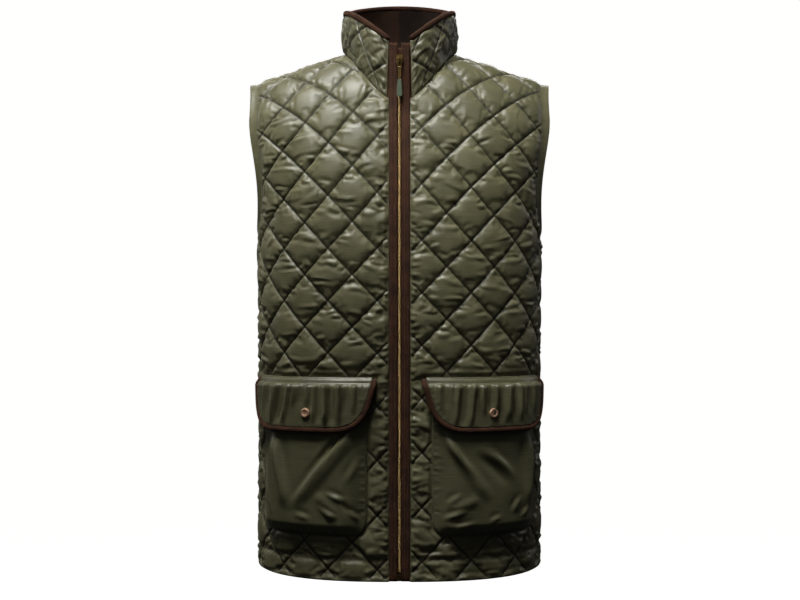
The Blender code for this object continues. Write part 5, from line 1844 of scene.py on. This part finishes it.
@dataclass
class PocketFlap:
    """A gathered flap over a patch pocket, bound round its sides and lower edge, with a snap."""

    pocket: PatchPocket
    inner: float = 0.034
    outer: float = 0.203
    top: float = -0.424
    bottom: float = -0.486
    slant: float = 0.016
    corner: float = 0.034
    wall: float = 0.0024
    clearance: float = 0.0022
    binding_half_width: float = 0.0034
    binding_half_thickness: float = 0.0027
    soft_top: float = 0.013
    seam_down: float = 0.0068
    seam_depth: float = 0.0015
    band_rise: float = 0.0011
    seam_half_width: float = 0.0014
    band_half_width: float = 0.0020
    gather_gain: float = 1.9
    gather_reach: float = 1.2
    ridge: float = 1.2
    step: float = 0.0022
    snap_across: float = 0.1165
    snap_height: float = -0.4685
    snap_radius: float = 0.0062
    snap_thickness: float = 0.0022

    def __post_init__(self) -> None:
        """Finds the flap's side, form and rows."""
        self.side, self.form, self.figure = self.pocket.side, self.pocket.form, self.pocket.figure
        self.low, self.high = self.figure.up(self.bottom), self.figure.up(self.top)

    def bound_edge(self) -> np.ndarray:
        """The flap's sides and lower edge, from its upper inner corner, where across is positive."""
        upper_near, upper_far = np.array([self.inner, self.high]), np.array([self.outer, self.high])
        near, far = np.array([self.inner + self.slant, self.low]), np.array([self.outer - 0.35 * self.slant, self.low])
        line = [upper_near]
        for before, corner, after in ((upper_near, near, far), (near, far, upper_far)):
            start = corner + (before - corner) * self.corner / np.linalg.norm(before - corner)
            end = corner + (after - corner) * self.corner / np.linalg.norm(after - corner)
            shares = np.linspace(0, 1, 12)[:, None]
            line += list((1 - shares) ** 2 * start + 2 * shares * (1 - shares) * corner + shares**2 * end)
        return np.array([*line, upper_far])

    def lift(self, flat: np.ndarray) -> np.ndarray:
        """How far the flap's underside stands off the front: sewn at its top, then clear over the pocket."""
        pocket = self.pocket
        over = np.clip(np.abs(flat[:, 0]), pocket.inner, pocket.outer)
        middle = np.clip(over, pocket.inner + pocket.rise_side, pocket.outer - pocket.rise_side)
        close = pocket.lift(np.stack([over, flat[:, 1]], axis=-1))
        crest = pocket.lift(np.stack([middle, flat[:, 1]], axis=-1))
        clear = np.maximum(0.35 * close + 0.65 * crest, close) + pocket.wall + self.clearance
        return pocket.gap + (clear - pocket.gap) * ease((self.high - flat[:, 1]) / self.soft_top)

    def gathers(self, flat: np.ndarray) -> np.ndarray:
        """How far the top seam and the gathers below it sink the cloth, fading out down the flap."""
        down = self.high - flat[:, 1]
        sink = self.seam_depth * np.exp(-(((down - self.seam_down) / self.seam_half_width) ** 2))
        sink -= self.band_rise * np.exp(-(((down - self.seam_down / 2) / self.band_half_width) ** 2))
        for gather in FLAP_GATHERS[self.side]:
            centre = gather.across + gather.lean * down / gather.length
            off = np.abs(np.abs(flat[:, 0]) - centre) / gather.half_width
            foot = self.gather_reach * gather.length + 0.008
            ends = ease((down - self.seam_down) / 0.006) * ease((foot - down) / 0.018)
            profile = ease(1 - off) - self.ridge * ease(1 - np.abs(off - 1.35) / 0.8)
            sink += self.gather_gain * gather.depth * ends * profile
        return sink

    def creases(self) -> list[Crease]:
        """Fine gathers from the top stitches, and puckers along the binding."""
        rng = np.random.default_rng(71 + self.side.value)
        top = np.array([(self.outer - 0.008, self.high - 0.0065), (self.inner + 0.008, self.high - 0.0065)])
        fine = PuckerRange((0.004, 0.011), (0.012, 0.042), (0.0005, 0.0014), (0.0014, 0.0028), 0.14)
        edge = PuckerRange((0.006, 0.013), (0.006, 0.014), (0.0002, 0.0006), (0.0014, 0.0024), 0.3)
        return fine.along(top, 1, rng) + edge.along(self.bound_edge(), 1, rng)

    def build(self, sewing: Sewing) -> list[bpy.types.Object]:
        """Makes the flap, its binding and its snap."""
        bound = self.bound_edge()
        across = np.array([bound[-1], bound[0]])
        outline = np.concatenate([resampled(bound, self.step)[:-1], resampled(across, self.step)[:-1]])
        outline = on_side(outline, self.side)
        shell = plain_sheet(self.form, outline, self.step, lambda flat: self.lift(flat) + self.wall)
        added = crease_height(shell.flat * (self.side.value, 1), self.creases())
        added *= ease(distance_to(shell.flat, outline) / 0.004)
        added = np.maximum(added - self.gathers(shell.flat), -0.8 * self.wall)
        shell.points = shell.points + added[:, None] * point_normals(shell)
        surface = shell.tree()
        closed = closed_wall(shell, self.form, self.lift, 0.006, lambda rim: np.full(len(rim), 0.0002))
        word = self.side.word
        obj = dressed(f"pocket_flap_{word}", closed, PLAIN_NYLON, [f"flap_{word}"])
        binding = self.build_binding(bound)
        rows = [self.top_row(0.0014), self.top_row(self.seam_down)]
        inset = offset_line(bound, 0.0012)
        sewing.lay(f"flap_{word}", OLIVE_THREAD, surface, [self.form.at(row, 0.004) for row in rows])
        edge = self.form.at(inset * (self.side.value, 1), self.lift(inset) + self.wall)
        sewing.lay(f"flap_binding_{word}", BROWN_THREAD, surface, [edge])
        return [obj, binding, self.build_snap()]

    def top_row(self, down: float) -> np.ndarray:
        """Flat points of a stitch line across the flap below its top edge."""
        across = np.arange(self.inner + 0.003, self.outer - 0.003, 0.002) * self.side.value
        return np.stack([across, np.full(len(across), self.high - down)], axis=-1)

    def build_binding(self, bound: np.ndarray) -> bpy.types.Object:
        """The rounded binding round the flap's sides and lower edge."""
        line = resampled(bound, 0.0026)
        runs = unit(np.gradient(line, axis=0))
        heading = np.stack([runs[:, 1], -runs[:, 0]], axis=-1)
        centre = line + heading * (self.binding_half_width + SEAM_GAP)
        heights = np.maximum(self.lift(centre) + self.wall / 2, self.binding_half_thickness + self.pocket.gap)
        path = self.form.at(centre * (self.side.value, 1), heights)
        beyond = self.form.at((centre + heading * 0.002) * (self.side.value, 1), heights)
        section = rounded_section(self.binding_half_width, self.binding_half_thickness, 2.6, 14)
        wobble = 1 + 0.03 * np.sin(np.linspace(0, 40, len(path)) + 3 * np.sin(np.linspace(0, 17, len(path))))
        shell = swept(path, beyond - path, section, blunt_ends(path, 0.002) * wobble)
        word = self.side.word
        return dressed(f"flap_edge_binding_{word}", shell, MOLESKIN, [f"flap_binding_{word}"])

    def build_snap(self) -> bpy.types.Object:
        """The domed snap cap, turned from its profile, clear of the cloth under it."""
        place = np.array([[self.side.value * self.snap_across, self.figure.up(self.snap_height)]])
        height = self.lift(place) + self.wall + 2 * SEAM_GAP
        origin, out = self.form.at(place, height)[0], self.form.normals(place)[0]
        first = unit(np.cross(out, (0, 0, 1)))
        second = np.cross(out, first)
        radius, rise = self.snap_radius, self.snap_thickness
        profile = np.array(
            [(0.02, 0.62), (0.30, 0.66), (0.52, 0.74), (0.62, 0.92), (0.72, 1.0), (0.86, 0.96), (0.96, 0.78),
             (1.0, 0.50), (1.0, 0.18), (0.96, 0.0), (0.02, 0.0)]
        ) * (radius, rise)
        turn = np.linspace(0, 2 * math.pi, 48, endpoint=False)
        spokes = np.cos(turn)[:, None] * first + np.sin(turn)[:, None] * second
        points = origin + profile[:, None, :1] * spokes[None] + profile[:, None, 1:] * out
        flat = np.stack(np.meshgrid(turn * radius, profile[:, 0]), axis=-1).reshape(-1, 2)
        shell = turned_out(Shell(points.reshape(-1, 3), ring_faces(len(profile), len(turn)), flat))
        word = self.side.word
        return dressed(f"snap_cap_{word}", shell, COPPER, [f"snap_{word}"])


# Collar


@dataclass
class StandCollar:
    """The quilted stand collar, its brown facing and its bound top edge."""

    shape: CollarForm
    strip_edge: float = 0.0135
    wall: float = 0.0022
    puff: float = 0.0035
    facing_wall: float = 0.0012
    facing_gap: float = 0.0013
    binding_half_height: float = 0.0036
    binding_half_thickness: float = 0.0036
    tuck: float = 0.0022
    crossing_across: float = -0.030
    crossing_up: float = 0.018

    def edges(self, start: float, end: float) -> dict[str, np.ndarray]:
        """Named edges of a stretch of the collar, anticlockwise from the seam."""
        across = np.linspace(end, start, 90)
        top = np.array([(a, self.shape.cloth_top(a, self.binding_half_height - self.tuck)) for a in across])
        return {
            "seam": np.array([(start, 0.0), (end, 0.0)]),
            "end": np.array([(end, 0.0), top[0]]),
            "edge": top,
            "start": np.array([top[-1], (start, 0.0)]),
        }

    def build(self, sewing: Sewing) -> None:
        """Makes the collar's stand, facings and binding."""
        front = self.shape.front_edge(self.strip_edge)
        quilting = Quilting(self.crossing_across, self.crossing_up, puff=self.puff)
        stand = QuiltedPiece(
            "quilted_collar",
            "collar",
            self.shape.form,
            self.edges(-front, front),
            quilting,
            seed=31,
            wall=self.wall,
            rolled=(),
            gathered=("start", "end", "seam"),
            crease_rise=0.0022,
            puckers=PuckerRange((0.005, 0.012), (0.010, 0.028), (0.0006, 0.0015), (0.0018, 0.0034), 0.3),
        )
        stand.dress(sewing, fill=0.5)
        stand.topstitch(sewing, "edge", 0.0016)
        # Both facing halves carry painted shade, and the right half a painted nap sheen as well.
        self.build_facing("collar_facing_cloth_left", "collar_facing_left", -front, -SEAM_GAP / 2, PAINTED_SHADE_FACING)
        self.build_facing("collar_facing_cloth_right", "collar_facing_right", SEAM_GAP / 2, front, PAINTED_SHADE_SHEEN_FACING)
        self.build_binding(front)

    def build_facing(self, name: str, node: str, start: float, end: float, finish: Finish) -> None:
        """Makes half of the inner facing, its napped side towards the neck."""
        form = Form(**{**vars(self.shape.form), "outward": -1})
        outline = np.concatenate([resampled(edge, 0.004)[:-1] for edge in self.edges(start, end).values()])
        fill = kept_inside(square_points(outline, 0.004), outline, 0.0018)
        flat, faces, _ = cut_flat(outline, fill)
        near = self.wall + self.facing_gap
        wave = 0.0006 * np.sin(flat[:, 0] * 95 + 14 * flat[:, 1]) * ease(distance_to(flat, outline) / 0.012)
        shell = subdivided(Shell(form.at(flat, near + self.facing_wall + wave), [f[::-1] for f in faces], flat))
        closed = closed_wall(
            shell, form, lambda inner: np.full(len(inner), near), 0.012, lambda rim: np.zeros(len(rim))
        )
        obj = dressed(name, closed, finish, [node])

    def build_binding(self, front: float) -> None:
        """Makes the binding folded over the collar's top edge."""
        end = front + 0.001
        across = np.linspace(-end, end, 200)
        flat = np.array([(a, self.shape.height(a)) for a in across])
        depth = -(self.wall + self.facing_wall) / 2
        path = self.shape.form.at(flat, depth)
        sides = self.shape.form.normals(flat)
        section = rounded_section(self.binding_half_thickness, self.binding_half_height, 2.7, 16)
        wobble = 1 + 0.02 * np.sin(np.linspace(0, 55, len(path)) + 3 * np.sin(np.linspace(0, 19, len(path))))
        shell = swept(path, sides, section, blunt_ends(path, 0.003) * wobble)
        obj = dressed("collar_edge_binding", shell, MOLESKIN, ["collar_binding"])
        length = float(lengths_along(path)[-1])


# Front opening


@dataclass
class FrontOpening:
    """The zip and the brown strip on each side of it."""

    figure: Figure
    collar: CollarForm
    strip_inner: float = 0.0026
    strip_outer: float = 0.0132
    strip_thickness: float = 0.0026
    lie: float = -0.0004
    strip_end: float = 1.06
    slider_share: float = 0.765
    tooth_pitch: float = 0.0026
    tooth_height: float = 0.0014
    tooth_width: float = 0.0026
    tooth_depth: float = 0.0020
    row_offset: float = 0.0006

    def path(self, across: float, height: float, top: float) -> np.ndarray:
        """Points up the opening, from the hem over the chest to a share of the collar's height."""
        low = self.figure.neck_bottom_up(Face.FRONT, 0.004)
        ups = np.linspace(self.figure.hem_up, low - 0.010, 110)
        body = self.figure.forms[Face.FRONT].at([(across, up) for up in ups], height)
        at = self.collar.half_neck - max(abs(across), 0.003)
        collar_ups = np.linspace(0.012, top * self.collar.height(self.collar.half_neck), 18)
        stand = self.collar.form.at([(-at, up) for up in collar_ups], height)
        points = np.concatenate([body, stand])
        points[:, 0] = across
        points = resampled(points, 0.004)
        for _ in range(3):
            points[1:-1] = (points[:-2] + 2 * points[1:-1] + points[2:]) / 4
        return points

    def strip_section(self, side: Side) -> np.ndarray:
        """The strip's section: a soft fold beside the zip, a stitched groove and a flat outer edge."""
        width, half = self.strip_outer - self.strip_inner, self.strip_thickness / 2
        shares = np.array(
            [(-0.5, -1.0), (0.5, -1.0), (0.5, 0.1), (0.47, 0.6), (0.40, 0.72), (0.34, 0.62), (0.27, 0.86), (0.1, 0.98),
             (-0.08, 0.92), (-0.16, 0.70), (-0.22, 0.66), (-0.30, 0.95), (-0.40, 1.0), (-0.47, 0.72), (-0.5, 0.1)]
        )
        section = shares * (width, half)
        return section if side is Side.LEFT else (section * (-1, 1))[::-1]

    def build(self, sewing: Sewing) -> None:
        """Makes the strips, the tape behind them and the zip's teeth."""
        middle = (self.strip_inner + self.strip_outer) / 2
        width = self.strip_outer - self.strip_inner
        for side in Side:
            path = self.path(side.value * middle, self.lie + self.strip_thickness / 2, self.strip_end)
            aside = np.tile([1.0, 0, 0], (len(path), 1))
            shell = swept(path, aside, self.strip_section(side))
            obj = dressed(f"zip_edge_strip_{side.word}", shell, MOLESKIN, [f"zip_strip_{side.word}"])
            length = float(lengths_along(path)[-1])
            surface = shell.tree()
            lines = [path + (side.value * share * width, -self.strip_thickness, 0) for share in (0.35, -0.19)]
            sewing.lay(f"zip_strip_{side.word}", BROWN_THREAD, surface, [line[2:-2] for line in lines])
        path = self.path(0.0, self.lie - 0.0030, 1.0)
        tape = swept(path, np.tile([1.0, 0, 0], (len(path), 1)), rounded_section(0.0165, 0.0003, 6.0, 12))
        obj = dressed("zip_tape", tape, MOLESKIN, [])
        float(lengths_along(path)[-1])
        path = self.path(0.0, self.lie + 0.0014, self.slider_share - 0.11)
        sizes = {
            "Pitch": self.tooth_pitch,
            "Tooth width": self.tooth_width,
            "Tooth height": self.tooth_height,
            "Tooth depth": self.tooth_depth,
            "Row offset": self.row_offset,
        }
        repeated("zip_teeth", [path[3:]], tooth_tree(), sizes, TOOTH_BRASS, ["zip_chain"])


# Hardware that keeps the solids' shapes


@dataclass(frozen=True)
class Hardware:
    """The slider, pull and box, which keep their solids."""

    finishes: tuple[tuple[str, Finish], ...] = (
        ("zip_slider", BRASS),
        ("zip_box", BRASS),
        ("zip_pull_link", BRASS),
        ("zip_pull_grip", RUBBER),
    )

    def dress(self, nodes: dict) -> None:
        """Gives each solid its finish."""
        for name, finish in self.finishes:
            data = nodes[name].data
            data.materials.clear()
            data.materials.append(finish.material())
            LOG.info("%s keeps its solid", name)


# The studio


@dataclass
class Studio:
    """A plain pale sweep, soft lights and the camera at the photograph's angle."""

    distance: float = 2.0
    level: float = -0.325
    view_width: float = 1.088
    floor_level: float = -1.05
    room: float = 6.0
    sweep: float = 1.5
    sensor: float = 36.0
    across: float = 0.0007
    air_strength: float = 0.02

    def build(self) -> None:
        """Makes the floor, the lights and the camera."""
        scene = bpy.context.scene
        scene.view_settings.view_transform = "Standard"
        turn = np.linspace(0, math.pi / 2, 14)
        rise = [(self.room - self.sweep * (1 - math.sin(a)), self.sweep * (1 - math.cos(a))) for a in turn]
        profile = np.array([(0.01, 0.0), *rise, (self.room, 5.0)])
        around = np.linspace(0, 2 * math.pi, 64, endpoint=False)
        points = [(r * math.cos(a), r * math.sin(a), self.floor_level + z) for r, z in profile for a in around]
        faces = ring_faces(len(profile), len(around), open_end=True)
        floor = new_object("studio_floor", Shell(np.array(points), faces, np.array(points)[:, :2]))
        floor.data.materials.append(STAGE_PAINT.material())
        floor.visible_diffuse = False
        floor.visible_glossy = False
        world = bpy.data.worlds.new("studio_air")
        world.use_nodes = True
        air = {"Color": linear("F2F4F6"), "Strength": self.air_strength}
        feed(world.node_tree, world.node_tree.nodes["Background"], air)
        scene.world = world
        self.light("key_softbox", (-0.35, -0.62, 1.45), (0.0, -0.12, 0.0), 4.4, (1.2, 0.6), 40)
        self.light("chest_strip", (-0.4, -1.4, 0.9), (-0.02, -0.12, -0.16), 0.18, (0.7, 0.15), 13)
        self.light("front_fill", (-0.5, -1.5, 0.75), (0.0, -0.1, -0.2), 0.35, (1.4, 0.7), 120)
        self.light("back_fill", (0.0, 2.0, 0.9), (0.0, 0.0, -0.25), 10.0, (1.8, 0.9), 120)
        self.light("left_fill", (2.2, 0.9, 0.6), (0.0, 0.0, -0.3), 2.2, (1.0, 1.0), 120)
        self.light("right_fill", (-2.2, 0.9, 0.6), (0.0, 0.0, -0.3), 2.2, (1.0, 1.0), 120)
        camera = bpy.data.cameras.new("photo_camera")
        camera.sensor_width = self.sensor
        camera.lens = self.sensor * self.distance / self.view_width
        obj = bpy.data.objects.new("photo_camera", camera)
        obj.location = (self.across, -self.distance, self.level)
        obj.rotation_euler = (math.pi / 2, 0, 0)
        scene.collection.objects.link(obj)
        scene.camera = obj

    def light(self, name: str, place: tuple, aim: tuple, power: float, size: tuple, spread: float) -> None:
        """Adds a soft rectangular light.

        Args:
            name: Its name.
            place: Where it stands.
            aim: The point that it faces.
            power: Its power in watts.
            size: Its width and height in metres.
            spread: How widely it shines, in degrees.
        """
        data = bpy.data.lights.new(name, "AREA")
        data.shape = "RECTANGLE"
        data.size, data.size_y = size
        data.energy = power
        data.spread = math.radians(spread)
        obj = bpy.data.objects.new(name, data)
        obj.location = place
        obj.rotation_euler = (Vector(aim) - Vector(place)).to_track_quat("-Z", "Y").to_euler()
        bpy.context.scene.collection.objects.link(obj)


# The whole garment


@dataclass
class Gilet:
    """The garment: its panels, collar, opening, pockets and hardware."""

    figure: Figure
    front_edge: float = 0.0135
    hem_band: float = 0.027
    first_crossing: float = 0.0285
    crossing_height: float = -0.259
    left_lift: float = 0.010
    back_crossing_height: float = -0.250
    armhole_band: float = 0.012
    allowance_depth: float = 0.0032
    allowance_half_width: float = 0.005

    def build(self, nodes: dict) -> None:
        """Makes every piece in order."""
        sewing = Sewing()
        collar = CollarForm(self.figure)
        for side in Side:
            pocket = PatchPocket(self.figure, side)
            flap = PocketFlap(pocket)
            self.build_front(side, pocket, flap, sewing)
            pocket.build(sewing)
            flap.build(sewing)
            self.build_allowance(side)
        self.build_back(sewing)
        StandCollar(collar).build(sewing)
        FrontOpening(self.figure, collar).build(sewing)
        Hardware().dress(nodes)
        sewing.build()

    def build_front(self, side: Side, pocket: PatchPocket, flap: PocketFlap, sewing: Sewing) -> None:
        """Makes one quilted front, pressed flat under its pocket."""
        edges = self.figure.half_panel(Face.FRONT, self.front_edge)
        if side is Side.RIGHT:
            edges = {name: (edge * (-1, 1))[::-1] for name, edge in reversed(edges.items())}
        lift = self.left_lift if side is Side.LEFT else 0.0
        quilting = Quilting(side.value * self.first_crossing, self.figure.up(self.crossing_height) + lift)
        bag = patch_outline(pocket.inner, pocket.outer, pocket.low, flap.high, pocket.corner, 0.004)
        cover = offset_line(flap.bound_edge(), -flap.binding_half_width)
        panel = QuiltedPiece(
            f"quilted_front_{side.word}",
            f"front_{side.word}",
            self.figure.forms[Face.FRONT],
            edges,
            quilting,
            seed=11 + side.value,
            hem_line=self.figure.hem_up + self.hem_band,
            patches=(on_side(bag, side), on_side(cover, side)),
            bands={"armhole": self.armhole_band},
            gathered=("centre",),
            upright_above=0.15,
        )
        panel.dress(sewing, fill=0.5)
        self.finish_edges(panel, sewing)

    def build_allowance(self, side: Side) -> None:
        """Lays the turned seam allowance behind a side seam, inside the cloth."""
        edge = resampled(self.figure.half_panel(Face.FRONT, self.front_edge)["side"], 0.006)
        path = self.figure.forms[Face.FRONT].at(edge * (side.value, 1), -self.allowance_depth)
        section = rounded_section(self.allowance_half_width, 0.0003, 6.0, 12)
        shell = swept(path, np.tile([0, 1.0, 0], (len(path), 1)), section)
        obj = dressed(f"side_seam_allowance_{side.word}", shell, NYLON, [])
        size = (2 * self.allowance_half_width, float(lengths_along(path)[-1]))

    def finish_edges(self, panel: QuiltedPiece, sewing: Sewing) -> None:
        """Lays the stitches along a panel's armholes, shoulders and hem."""
        for name in panel.edges:
            if name.startswith("armhole"):
                panel.topstitch(sewing, name, self.armhole_band)
            if name.startswith("shoulder"):
                panel.topstitch(sewing, name, 0.004)
            if name.startswith("hem"):
                panel.topstitch(sewing, name, self.hem_band)

    def build_back(self, sewing: Sewing) -> None:
        """Makes the quilted back in one piece."""
        half = self.figure.half_panel(Face.BACK, 0.0)
        half.pop("centre")
        edges = dict(half)
        for name, edge in reversed(half.items()):
            edges[f"{name}_right"] = (edge * (-1, 1))[::-1]
        panel = QuiltedPiece(
            "quilted_back",
            "back",
            self.figure.forms[Face.BACK],
            edges,
            Quilting(0.0, self.figure.up(self.back_crossing_height)),
            seed=21,
            per_side=11,
            hem_line=self.figure.hem_up + self.hem_band,
            bands={"armhole": self.armhole_band},
            upright_above=0.15,
        )
        panel.dress(sewing, fill=0.5)
        self.finish_edges(panel, sewing)


def main() -> None:
    """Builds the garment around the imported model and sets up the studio."""
    logging.basicConfig(level=logging.INFO, format="%(name)s %(message)s")
    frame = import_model()
    Studio().build()
    Gilet(Figure()).build(frame["nodes"])


if __name__ == "__main__":
    main()
